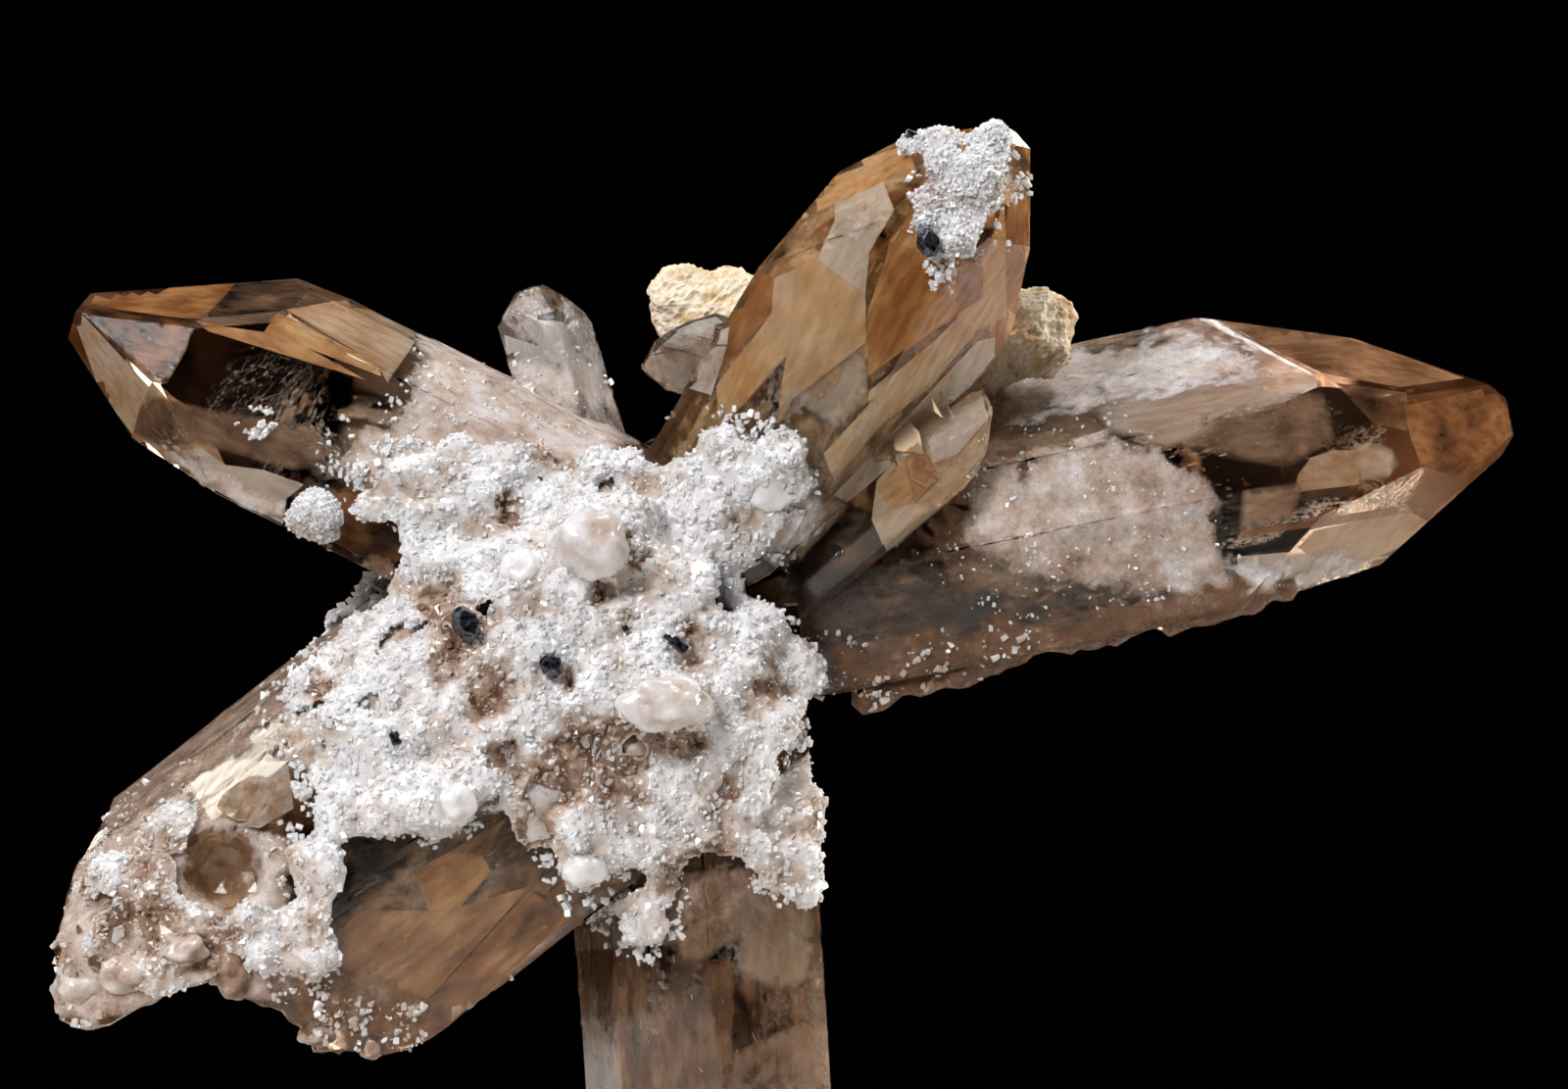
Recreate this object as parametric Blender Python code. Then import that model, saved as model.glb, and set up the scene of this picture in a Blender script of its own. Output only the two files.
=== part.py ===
"""A spray of topaz crystals with its white crust and a scrap of its host rock.

Five long topaz prisms and three small ones grew through each other, so they are one solid. A sugary white
crust sits on them in separate patches, with a few black bixbyite crystals in it, and a scrap of cream
rhyolite is held behind the upper prism. The spray stands on the flat cleavage face of its lowest prism.
The origin is in the middle of that face, with +X to the right, +Y away from the viewer and +Z up. Lengths
in this file are in millimetres, and each finished mesh is scaled to metres.
"""

import math
import random

import bmesh
import bpy
from mathutils import Matrix, Vector, noise
from mathutils.bvhtree import BVHTree
from mathutils.geometry import intersect_point_tri_2d, tessellate_polygon

MM = 0.001
TOUCH_GAP = 0.3
WELD = 0.002

# Topaz's unit cell, whose ratios give every face its true slope.
CELL = Vector((4.65, 8.80, 8.39))
TOWARDS_VIEWER = Vector((0, -1, 0))
FAR = 60

# Roughness: how much coarse and fine noise moves a surface and the period of the coarse one. A blob's are
# shares of its radius. The fine noise's period is this many times shorter.
LUMP_ROUGHNESS = (0.16, 0.1, 0.9)
BLOB_ROUGHNESS = (0.22, 0.08, 0.9)
FINER = 3.1
SEED_SHIFT = Vector((3.7, 1.3, 2.9))


def prism_faces(blunt, sharp):
    """The four {110} and the four {120} prism faces, as (h, k, l, distance from the axis)."""
    faces = []
    for h in (1, -1):
        for k in (1, -1):
            faces.append((h, k, 0, blunt))
            faces.append((h, 2 * k, 0, sharp))
    return faces


# Each crystal runs from a buried root to the point where its end faces would meet. roll turns it about its
# own length. sides are the prism faces (h, k, l) with their distances from the axis, and ends are the end
# faces with how far each is cut back from the point. level is the height of a flat cut.
CRYSTALS = {
    "left": {
        "root": (-3.6, 0.5, 23.9),
        "tip": (-29.0, 2.7, 36.4),
        "roll": 36,
        "sides": [
            (1, 1, 0, 4.3), (1, 2, 0, 4.7), (1, -1, 0, 4.0), (1, -2, 0, 4.3),
            (-1, 1, 0, 5.2), (-1, 2, 0, 3.6), (-1, -1, 0, 5.1), (-1, -2, 0, 4.0),
        ],
        "ends": [
            (0, 2, 1, 1.9), (0, -2, 1, 1.2), (1, 1, 1, 2.7), (1, -1, 1, 0.2),
            (-1, 1, 1, 0.6), (-1, -1, 1, 0.3), (0, 0, 1, 3.3),
        ],
    },
    "upper": {
        "root": (0.0, 1.0, 23.2),
        "tip": (13.3, -5.0, 45.1),
        "roll": 31,
        "sides": [
            (1, 1, 0, 3.4), (1, 2, 0, 4.5), (1, -1, 0, 3.9), (1, -2, 0, 4.3),
            (-1, 1, 0, 4.7), (-1, 2, 0, 4.1), (-1, -1, 0, 3.9), (-1, -2, 0, 4.4),
        ],
        "ends": [
            (0, 2, 1, 0.9), (0, -2, 1, 1.6), (1, 1, 1, 0.1), (1, -1, 1, 0.8),
            (-1, 1, 1, 1.3), (-1, -1, 1, 0.6), (1, 1, 2, 1.6), (-1, -1, 2, 3.5),
            (0, -1, 1, 3.5), (0, 0, 1, 3.5), (0, 2, -1, 3.7),
        ],
    },
    "right": {
        "root": (-14.4, 6.4, 20.5),
        "tip": (35.4, 3.1, 30.8),
        "roll": -36,
        "sides": [
            (1, 1, 0, 5.8), (1, 2, 0, 6.0), (1, -1, 0, 4.5), (1, -2, 0, 6.2),
            (-1, 1, 0, 5.7), (-1, 2, 0, 4.8), (-1, -1, 0, 5.6), (-1, -2, 0, 4.8),
        ],
        "ends": [
            (0, 2, 1, 0.7), (0, -2, 1, 0.2), (1, 1, 1, 0.1), (1, -1, 1, 0.6),
            (-1, 1, 1, 0.4), (-1, -1, 1, 0.1), (1, 1, 2, 3.2), (-1, -1, 2, 1.3),
            (7, -9, 3, -12.1), (0, 0, 1, 2.4), (0, 2, -1, 0.0), (0, -2, -1, 0.6),
            (1, 1, -1, 1.4), (1, -1, -1, 1.0), (-1, 1, -1, 1.6), (-1, -1, -1, 0.8),
            (0, 0, -1, 1.5),
        ],
    },
    "lower_left": {
        "root": (-1.2, 1.0, 22.7),
        "tip": (-32.2, -3.0, -1.6),
        "roll": 35,
        "sides": [
            (1, 1, 0, 7.0), (1, 2, 0, 7.4), (1, -1, 0, 6.6), (1, -2, 0, 6.8),
            (-1, 1, 0, 5.6), (-1, 2, 0, 5.8), (-1, -1, 0, 7.1), (-1, -2, 0, 6.9),
        ],
        "ends": [],
    },
    "foot": {
        "root": (-1.5, -1.0, 22.3),
        "tip": (0.13, 0.1, -2.0),
        "roll": 25,
        "sides": prism_faces(4.2, 4.05),
        "ends": [],
        "level": 0.0,
    },
    "small_clear": {
        "root": (-4.9, 4.0, 27.0),
        "tip": (-8.0, 3.5, 37.2),
        "roll": 18,
        "sides": [
            (1, 1, 0, 1.7), (1, 2, 0, 1.2), (1, -1, 0, 1.6), (1, -2, 0, 1.3),
            (-1, 1, 0, 1.8), (-1, 2, 0, 2.0), (-1, -1, 0, 1.6), (-1, -2, 0, 1.4),
        ],
        "ends": [
            (0, 1, 1, 1.3), (0, -1, 1, 1.0), (1, 1, 1, 0.0), (1, -1, 1, 0.1),
            (-1, 1, 1, 0.6), (-1, -1, 1, 0.6), (0, 0, 1, 1.6),
        ],
    },
    "small_back": {
        "root": (5.3, 3.0, 31.4),
        "tip": (-3.5, 1.9, 33.7),
        "roll": 22,
        "sides": prism_faces(1.5, 1.4),
        "ends": [(0, 1, 1, 1.5), (0, -1, 1, 0.2), (0, 0, 1, 1.0)],
    },
    "small_beside": {
        "root": (2.3, 0.5, 22.7),
        "tip": (11.9, -3.0, 30.7),
        "roll": 40,
        "sides": prism_faces(1.7, 1.6),
        "ends": [(0, 2, 1, 0.1), (0, -2, 1, 1.0), (1, 1, 1, 0.1), (1, -1, 1, 1.6), (0, 0, 1, 0.2)],
    },
}

# The lower left prism ends in a rough break. This is its outline from the front, as (x, z), and a little
# of it is still hollowed by two round pits, as (x, z, radius).
BREAK_OUTLINE = [
    (-23.5, 20.5), (-24.6, 14.6), (-25.9, 11.8), (-26.7, 8.6), (-26.6, 5.9), (-24.9, 5.3), (-22.6, 6.6),
    (-20.3, 7.5), (-18.6, 6.6), (-16.9, 6.0), (-16.1, 4.6), (-13.4, 4.2), (-11.4, 4.8), (-9.4, 6.6),
    (-7.0, 7.2),
]
BREAK_AWAY = Vector((-1, 0, -1)).normalized()
BREAK_ROUGHNESS = 0.45
BREAK_WAVES = ((0.35, 1.0), (0.9, 0.5))
BREAK_CELLS = (34, 16)
BREAK_DEPTH = 22
PITS = [(-19.7, 11.7, 1.8), (-19.2, 15.0, 1.3)]
PIT_SINK = 0.35

# A ragged ledge runs under the right prism, as (x, z) along its lower edge.
LEDGE = [(23.4, 22.9), (18.6, 21.6), (13.4, 20.6), (9.6, 19.2), (6.4, 18.5), (4.9, 17.6)]
LEDGE_RADIUS = 0.75
LEDGE_SPREAD = (0.75, 1.15)
LEDGE_STEP = 0.9
LEDGE_INSET = 0.7
LEDGE_RISE = 0.42
LEDGE_BEHIND = 0.9
LEDGE_VOXEL = 0.35
LEDGE_FACES = 420
LEDGE_SEED = 5

# The crust's patches: outlines from the front or the back as (x, z), the spacing of its lumps, their radii
# and the size of the cells they are melted in. Lumps sit on the first crystal face behind each place.
CRUSTS = {
    "druse_crust": {
        "seed": 11,
        "faces": 4500,
        "front": [
            [
                (-12.6, 24.8), (-9.2, 26.9), (-5.1, 28.9), (-0.3, 28.5), (2.1, 30.1), (4.0, 28.1),
                (2.3, 25.5), (1.6, 23.2), (3.1, 21.6), (4.0, 18.6), (4.2, 12.6), (3.6, 10.6), (0.6, 12.3),
                (-1.3, 11.5),
                (-1.9, 9.1), (-4.1, 8.3), (-5.1, 11.1), (-7.4, 12.3), (-8.4, 15.6), (-10.0, 13.3),
                (-12.4, 13.0), (-16.4, 13.5), (-17.0, 20.4),
            ],
            [
                (-14.6, 27.9), (-11.9, 29.6), (-8.6, 29.5), (-5.1, 28.7), (-9.2, 26.6), (-11.6, 25.2),
                (-14.0, 26.4),
            ],
            [
                (-25.0, 12.8), (-23.3, 13.4), (-21.3, 13.4), (-17.4, 13.4), (-15.6, 12.4), (-15.9, 11.2),
                (-16.6, 9.5), (-15.9, 7.6), (-18.6, 7.6), (-21.4, 8.2), (-23.9, 6.7), (-25.9, 6.8),
                (-26.0, 10.1),
            ],
        ],
        "back": [],
        "step": 1.5,
        "radii": (0.85, 1.45),
        "voxel": 0.42,
    },
    "back_crust": {
        "seed": 17,
        "faces": 1300,
        "front": [],
        "back": [
            [
                (-13.0, 24.0), (-8.5, 27.5), (-4.6, 26.5), (-5.0, 21.0), (3.0, 16.5), (3.4, 11.0),
                (-3.0, 10.0), (-4.6, 14.0), (-11.0, 12.6), (-15.5, 14.0), (-16.5, 20.0),
            ],
        ],
        "step": 1.9,
        "radii": (1.1, 1.8),
        "voxel": 0.42,
    },
    "far_crust": {
        "seed": 29,
        "faces": 700,
        "front": [],
        "back": [
            [(-3.6, 26.0), (0.0, 29.6), (5.0, 29.0), (8.6, 26.4), (8.0, 22.4), (3.0, 20.8), (-3.0, 22.0)],
        ],
        "step": 1.9,
        "radii": (1.25, 1.8),
        "voxel": 0.42,
    },
    "tip_crust": {
        "seed": 23,
        "faces": 900,
        "front": [
            [
                (8.2, 41.2), (10.4, 41.9), (12.1, 41.5), (12.7, 40.2), (12.3, 39.2), (11.3, 39.0),
                (10.7, 38.6), (10.9, 37.2), (9.7, 36.6), (8.7, 37.8), (8.9, 39.8),
            ],
        ],
        "back": [],
        "step": 0.8,
        "radii": (0.65, 0.95),
        "voxel": 0.25,
    },
}
LUMP_JITTER = 0.3
PIT_CLEARANCE = 0.3

# Rounded knobs that stand out of the crust: (x, z, radius, how far the middle stands out).
CRUST_KNOBS = [
    (-4.7, 25.0, 1.7, 0.9), (-1.9, 18.7, 1.8, 0.7), (-12.0, 22.6, 1.3, 0.6), (-10.9, 14.6, 1.4, 0.7),
]

# The round ball of crust on the left prism: (x, z, radius).
CRUST_BALL = (-16.2, 26.2, 1.15)
BALL_SEED = 3

# The black crystals as (x, z), length, width and turn in degrees.
BIXBYITE = {
    "bixbyite_left": {"at": (-10.0, 21.8), "size": (1.5, 0.8), "turn": 25, "on": "druse_crust"},
    "bixbyite_middle": {"at": (-6.5, 20.1), "size": (1.0, 0.7), "turn": 40, "on": "druse_crust"},
    "bixbyite_upper": {"at": (8.8, 37.3), "size": (1.2, 0.7), "turn": 15, "on": "tip_crust"},
}
BIXBYITE_BURIED = 0.35
BIXBYITE_REACH = 0.85
BIXBYITE_YAW = 25
# A corner is cut this far from the middle, in widths and in lengths.
BIXBYITE_CORNER = (0.30, 0.21)

# The scrap of host rock behind the upper prism: lumps as (x, y, z, radius).
MATRIX_LUMPS = [
    (-1.2, 6.6, 35.3, 1.6), (0.6, 6.4, 34.8, 1.9), (-0.9, 6.8, 33.9, 1.4), (2.6, 6.0, 33.9, 2.1),
    (4.8, 5.6, 33.6, 2.3), (7.2, 5.2, 33.4, 2.4), (9.6, 4.6, 33.4, 2.3), (11.8, 3.8, 33.6, 2.0),
    (13.3, 3.2, 34.1, 1.8), (13.6, 3.0, 33.2, 1.4), (6.0, 6.6, 32.0, 2.0), (10.2, 5.4, 31.8, 2.0),
    (0.2, 6.9, 33.2, 1.5),
]
MATRIX_VOXEL = 0.5
MATRIX_FACES = 1100
MATRIX_SEED = 31

COLOURS = {
    "topaz": {"color": (0.62, 0.40, 0.24), "roughness": 0.08, "ior": 1.62, "transmission": 0.85},
    "crust": {"color": (0.80, 0.77, 0.73), "roughness": 0.75, "ior": 1.5, "transmission": 0.0},
    "rock": {"color": (0.78, 0.68, 0.52), "roughness": 0.9, "ior": 1.5, "transmission": 0.0},
    "bixbyite": {"color": (0.03, 0.03, 0.035), "roughness": 0.25, "ior": 1.5, "transmission": 0.0},
}


def link_mesh(bm, name):
    """A linked object that holds a bmesh, which this frees."""
    mesh = bpy.data.meshes.new(name)
    bm.to_mesh(mesh)
    bm.free()
    obj = bpy.data.objects.new(name, mesh)
    bpy.context.scene.collection.objects.link(obj)
    return obj


def with_modifier(bm, kind, **settings):
    """The bmesh as one modifier leaves it."""
    obj = link_mesh(bm, "work")
    modifier = obj.modifiers.new("work", kind)
    for key, value in settings.items():
        setattr(modifier, key, value)
    bpy.context.view_layer.update()
    result = bmesh.new()
    result.from_object(obj, bpy.context.evaluated_depsgraph_get())
    bpy.data.objects.remove(obj)
    return result


def combine(bm, other, operation):
    """Joins another closed bmesh to this one, or cuts it away, and frees both."""
    tool = link_mesh(other, "tool")
    result = with_modifier(bm, "BOOLEAN", operation=operation, solver="EXACT", object=tool)
    bpy.data.objects.remove(tool)
    return result


def largest_body(bm):
    """Keeps only the connected piece with the greatest volume."""
    bodies = []
    unseen = set(bm.faces)
    while unseen:
        queue = [unseen.pop()]
        body = list(queue)
        while queue:
            for edge in queue.pop().edges:
                for face in edge.link_faces:
                    if face in unseen:
                        unseen.remove(face)
                        queue.append(face)
                        body.append(face)
        bodies.append(body)

    def extent(body):
        points = [vert.co for face in body for vert in face.verts]
        return math.prod(max(p[i] for p in points) - min(p[i] for p in points) for i in range(3))

    bodies.sort(key=extent)
    loose = [face for body in bodies[:-1] for face in body]
    bmesh.ops.delete(bm, geom=loose, context="FACES")
    return bm


def roughen(bm, coarse, fine, period, seed):
    """Moves every vertex along its normal by two sizes of noise."""
    bm.normal_update()
    shift = seed * SEED_SHIFT
    moves = []
    for vert in bm.verts:
        place = vert.co / period + shift
        moves.append(vert.normal * (coarse * noise.noise(place) + fine * noise.noise(place * FINER)))
    for vert, move in zip(bm.verts, moves):
        vert.co += move


def crystal_frame(spec):
    """Turns a crystal's own axes, with its length along +Z, into the object's frame, tip at the origin."""
    root, tip = Vector(spec["root"]), Vector(spec["tip"])
    along = (tip - root).normalized()
    front = (TOWARDS_VIEWER - TOWARDS_VIEWER.dot(along) * along).normalized()
    across = along.cross(front)
    roll = math.radians(spec["roll"])
    a_axis = math.cos(roll) * front + math.sin(roll) * across
    b_axis = along.cross(a_axis)
    turn = Matrix((a_axis, b_axis, along)).transposed().to_4x4()
    return Matrix.Translation(tip) @ turn


def cut(bm, point, normal):
    """Cuts away what lies beyond a plane and closes the cut with one flat face."""
    geometry = bm.verts[:] + bm.edges[:] + bm.faces[:]
    made = bmesh.ops.bisect_plane(bm, geom=geometry, plane_co=point, plane_no=normal, clear_outer=True)
    edges = [e for e in made["geom_cut"] if isinstance(e, bmesh.types.BMEdge)]
    if len(edges) > 2:
        bmesh.ops.contextual_create(bm, geom=edges)


def crystal_mesh(spec, grow=0.0):
    """One crystal as a closed bmesh, its faces moved outwards by grow."""
    length = (Vector(spec["tip"]) - Vector(spec["root"])).length
    bm = bmesh.new()
    bmesh.ops.create_cube(bm, size=1)
    bmesh.ops.scale(bm, vec=(FAR, FAR, length + grow), verts=bm.verts)
    bmesh.ops.translate(bm, vec=(0, 0, (grow - length) / 2), verts=bm.verts)
    for h, k, l, distance in spec["sides"]:
        normal = Vector((h / CELL.x, k / CELL.y, l / CELL.z)).normalized()
        cut(bm, normal * (distance + grow), normal)
    for h, k, l, back in spec["ends"]:
        normal = Vector((h / CELL.x, k / CELL.y, l / CELL.z)).normalized()
        start = -back if l > 0 else back - length
        cut(bm, Vector((0, 0, start)) + normal * grow, normal)
    bm.transform(crystal_frame(spec))
    if "level" in spec:
        cut(bm, Vector((0, 0, spec["level"] - grow)), Vector((0, 0, -1)))
    bmesh.ops.recalc_face_normals(bm, faces=bm.faces)
    return bm


def point_on(outline, share):
    """The place a share of the way along an open outline of (x, z) points."""
    lengths = [math.dist(a, b) for a, b in zip(outline, outline[1:])]
    wanted = share * sum(lengths)
    for (a, b), length in zip(zip(outline, outline[1:]), lengths):
        if wanted <= length:
            return Vector(a).lerp(Vector(b), wanted / length)
        wanted -= length
    return Vector(outline[-1])


def break_cutter(grow=0.0):
    """A rough block that takes away everything beyond the lower left prism's break."""
    along_break, through = BREAK_CELLS
    bm = bmesh.new()
    bmesh.ops.create_grid(bm, x_segments=along_break, y_segments=through, size=0.5)
    for vert in bm.verts:
        place = point_on(BREAK_OUTLINE, vert.co.x + 0.5)
        spot = Vector((place.x, vert.co.y * BREAK_DEPTH, place.y))
        rough = sum(height * noise.noise(spot * scale) for scale, height in BREAK_WAVES)
        vert.co = spot + BREAK_AWAY * (BREAK_ROUGHNESS * rough + 2 * grow)
    sheet = bmesh.ops.extrude_face_region(bm, geom=bm.faces[:])
    moved = [v for v in sheet["geom"] if isinstance(v, bmesh.types.BMVert)]
    bmesh.ops.translate(bm, vec=BREAK_AWAY * FAR, verts=moved)
    bmesh.ops.recalc_face_normals(bm, faces=bm.faces)
    return bm


def blob(x, y, z, radius, seed, detail=2):
    """One lumpy ball as a closed bmesh."""
    bm = bmesh.new()
    bmesh.ops.create_icosphere(bm, subdivisions=detail, radius=radius)
    coarse, fine, period = (radius * share for share in BLOB_ROUGHNESS)
    roughen(bm, coarse, fine, period, seed)
    bmesh.ops.translate(bm, vec=(x, y, z), verts=bm.verts)
    return bm


def fused_lumps(lumps, voxel, faces, seed):
    """Lumps as (x, y, z, radius), melted into one closed body with about the given number of faces."""
    bm = bmesh.new()
    for number, (x, y, z, radius) in enumerate(lumps):
        mesh = bpy.data.meshes.new("lump")
        one = blob(x, y, z, radius, seed + number)
        one.to_mesh(mesh)
        one.free()
        bm.from_mesh(mesh)
        bpy.data.meshes.remove(mesh)
    bm = with_modifier(bm, "REMESH", mode="VOXEL", voxel_size=voxel)
    largest_body(bm)
    roughen(bm, *LUMP_ROUGHNESS, seed)
    bmesh.ops.triangulate(bm, faces=bm.faces)
    return with_modifier(bm, "DECIMATE", ratio=min(1, faces / len(bm.faces)))


def first_face(tree, x, z, from_front=True):
    """Where a line along Y through (x, z) first meets the crystals, or None."""
    side = -1 if from_front else 1
    place, _, _, _ = tree.ray_cast(Vector((x, side * FAR, z)), Vector((0, -side, 0)))
    return place


def ledge_mesh(tree, grow=0.0):
    """The ragged ledge under the right prism, with its roots inside the crystal."""
    rng = random.Random(LEDGE_SEED)
    total = sum(math.dist(a, b) for a, b in zip(LEDGE, LEDGE[1:]))
    count = round(total / LEDGE_STEP)
    lumps = []
    for number in range(count + 1):
        place = point_on(LEDGE, number / count)
        inside = first_face(tree, place.x, place.y + LEDGE_INSET)
        radius = LEDGE_RADIUS * rng.uniform(*LEDGE_SPREAD)
        if inside:
            lumps.append((place.x, inside.y + LEDGE_BEHIND, place.y + LEDGE_RISE, radius + grow))
    return fused_lumps(lumps, LEDGE_VOXEL, LEDGE_FACES, LEDGE_SEED)


def crystals_solid(grow=0.0):
    """All the crystals grown together as one closed solid, its faces moved outwards by grow."""
    broken = combine(crystal_mesh(CRYSTALS["lower_left"], grow), break_cutter(grow), "DIFFERENCE")
    if not grow:
        tree = BVHTree.FromBMesh(broken)
        for number, (x, z, radius) in enumerate(PITS):
            face = first_face(tree, x, z)
            pit = blob(x, face.y - radius * PIT_SINK, z, radius, number + 1)
            broken = combine(broken, pit, "DIFFERENCE")
    solid = broken
    for name, spec in CRYSTALS.items():
        if name != "lower_left":
            solid = combine(solid, crystal_mesh(spec, grow), "UNION")
    solid = combine(solid, ledge_mesh(BVHTree.FromBMesh(solid), grow), "UNION")
    return largest_body(solid)


def inside_outline(x, z, outline):
    """Whether (x, z) lies inside a closed outline."""
    corners = [Vector((a, b, 0)) for a, b in outline]
    point = Vector((x, z))
    for first, second, third in tessellate_polygon([corners]):
        triangle = (corners[i].to_2d() for i in (first, second, third))
        if intersect_point_tri_2d(point, *triangle):
            return True
    return False


def crust_lumps(patch, tree):
    """The places and radii of one crust's lumps, as (x, y, z, radius)."""
    rng = random.Random(patch["seed"])
    step = patch["step"]
    small, large = patch["radii"]
    lumps = []
    sides = [(outline, True) for outline in patch["front"]]
    sides += [(outline, False) for outline in patch["back"]]
    for outline, from_front in sides:
        xs, zs = zip(*outline)
        for row in range(math.ceil((max(zs) - min(zs)) / step) + 1):
            for column in range(math.ceil((max(xs) - min(xs)) / step) + 1):
                x = min(xs) + (column + row % 2 / 2 + rng.uniform(-LUMP_JITTER, LUMP_JITTER)) * step
                z = min(zs) + (row + rng.uniform(-LUMP_JITTER, LUMP_JITTER)) * step
                radius = rng.uniform(small, large)
                clear = PIT_CLEARANCE * radius
                in_pit = any(math.dist((x, z), (px, pz)) < pr + clear for px, pz, pr in PITS)
                if (from_front and in_pit) or not inside_outline(x, z, outline):
                    continue
                face = first_face(tree, x, z, from_front)
                if face:
                    lumps.append((x, face.y, z, radius))
    return lumps


def crust_mesh(name, tree, grown):
    """One patch of crust, lying on the crystals with the touch gap under it."""
    patch = CRUSTS[name]
    lumps = crust_lumps(patch, tree)
    if name == "druse_crust":
        for x, z, radius, proud in CRUST_KNOBS:
            lumps.append((x, first_face(tree, x, z).y - proud, z, radius))
    bm = fused_lumps(lumps, patch["voxel"], patch["faces"], patch["seed"])
    return largest_body(combine(bm, grown.copy(), "DIFFERENCE"))


def bixbyite_mesh(spec, y, grow=0.0):
    """A stubby black crystal with its cube corners cut off."""
    length, width = spec["size"]
    x, z = spec["at"]
    bm = bmesh.new()
    bmesh.ops.create_cube(bm, size=1)
    bmesh.ops.scale(bm, vec=(width + 2 * grow, width + 2 * grow, length + 2 * grow), verts=bm.verts)
    for corner in [(a, b, c) for a in (1, -1) for b in (1, -1) for c in (1, -1)]:
        normal = Vector(corner).normalized()
        cut(bm, normal * (BIXBYITE_CORNER[0] * width + BIXBYITE_CORNER[1] * length + grow), normal)
    bmesh.ops.recalc_face_normals(bm, faces=bm.faces)
    yaw = Matrix.Rotation(math.radians(BIXBYITE_YAW), 4, "Z")
    lean = Matrix.Rotation(math.radians(-spec["turn"]), 4, "Y")
    bm.transform(Matrix.Translation((x, y, z)) @ lean @ yaw)
    return bm


def matrix_mesh(grown):
    """The scrap of host rock, clear of the crystals that hold it."""
    bm = fused_lumps(MATRIX_LUMPS, MATRIX_VOXEL, MATRIX_FACES, MATRIX_SEED)
    return largest_body(combine(bm, grown.copy(), "DIFFERENCE"))


def material(name):
    """A Principled material with the values named for it."""
    values = COLOURS[name]
    mat = bpy.data.materials.new(name)
    mat.use_nodes = True
    shader = mat.node_tree.nodes["Principled BSDF"]
    shader.inputs["Base Color"].default_value = (*values["color"], 1)
    shader.inputs["Roughness"].default_value = values["roughness"]
    shader.inputs["IOR"].default_value = values["ior"]
    shader.inputs["Transmission Weight"].default_value = values["transmission"]
    return mat


def finish(bm, name, mat):
    """A finished, named object in metres."""
    bmesh.ops.triangulate(bm, faces=bm.faces)
    bmesh.ops.remove_doubles(bm, verts=bm.verts, dist=WELD)
    bmesh.ops.dissolve_degenerate(bm, edges=bm.edges, dist=WELD)
    bmesh.ops.triangulate(bm, faces=bm.faces)
    largest_body(bm)
    print(name, len(bm.faces), "triangles", round(bm.calc_volume(), 1), "mm3")
    bm.transform(Matrix.Scale(MM, 4))
    obj = link_mesh(bm, name)
    obj.data.materials.append(material(mat))
    return obj


def main():
    for obj in list(bpy.data.objects):
        bpy.data.objects.remove(obj)
    crystals = crystals_solid()
    grown = crystals_solid(TOUCH_GAP)
    tree = BVHTree.FromBMesh(crystals)
    crusts = {name: crust_mesh(name, tree, grown) for name in CRUSTS}
    for name, spec in BIXBYITE.items():
        x, z = spec["at"]
        surface = first_face(BVHTree.FromBMesh(crusts[spec["on"]]), x, z) or first_face(tree, x, z)
        width = spec["size"][1]
        clear = first_face(tree, x, z).y - width * BIXBYITE_REACH - TOUCH_GAP
        y = min(surface.y - width * BIXBYITE_BURIED, clear)
        pocket = bixbyite_mesh(spec, y, TOUCH_GAP)
        crusts[spec["on"]] = largest_body(combine(crusts[spec["on"]], pocket, "DIFFERENCE"))
        finish(bixbyite_mesh(spec, y), name, "bixbyite")
    x, z, radius = CRUST_BALL
    ball = blob(x, first_face(tree, x, z + radius).y, z, radius, BALL_SEED, detail=3)
    finish(largest_body(combine(ball, grown.copy(), "DIFFERENCE")), "crust_ball", "crust")
    finish(matrix_mesh(grown), "rhyolite_matrix", "rock")
    for name, bm in crusts.items():
        finish(bm, name, "crust")
    finish(crystals, "topaz_crystals", "topaz")
    grown.free()


if __name__ == "__main__":
    main()
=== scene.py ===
import math
import random

import bmesh
import bpy
from mathutils import Matrix, Vector, noise
from mathutils.bvhtree import BVHTree
from mathutils.geometry import intersect_point_tri_2d, tessellate_polygon


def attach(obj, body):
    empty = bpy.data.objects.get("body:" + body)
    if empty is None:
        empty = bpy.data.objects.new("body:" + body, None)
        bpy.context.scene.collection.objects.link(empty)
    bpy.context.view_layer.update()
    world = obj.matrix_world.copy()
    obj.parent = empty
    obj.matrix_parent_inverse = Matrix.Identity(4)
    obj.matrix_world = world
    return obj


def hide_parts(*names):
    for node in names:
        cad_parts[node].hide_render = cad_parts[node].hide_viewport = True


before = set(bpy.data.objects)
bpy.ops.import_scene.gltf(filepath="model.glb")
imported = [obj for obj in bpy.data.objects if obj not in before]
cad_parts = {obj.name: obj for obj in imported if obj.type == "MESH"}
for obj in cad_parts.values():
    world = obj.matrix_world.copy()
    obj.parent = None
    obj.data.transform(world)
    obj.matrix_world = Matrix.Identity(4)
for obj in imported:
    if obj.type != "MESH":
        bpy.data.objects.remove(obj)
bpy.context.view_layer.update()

print("frame loaded")

# Shapes are worked out in millimetres, in the frame's own axes, and scaled to metres when a piece is done.
toMetres = 0.001
toMillimetres = 1000.0
mergeWithin = 0.002

# The photograph looks level along +Y at the foot's axis, and cuts the picture off just above the foot's face.
camera = {
    "place": (0.00295, -0.53, 0.02503),
    "lens": 295.2,
    "sensor": 36.0,
    "clip": 0.01,
}

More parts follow.
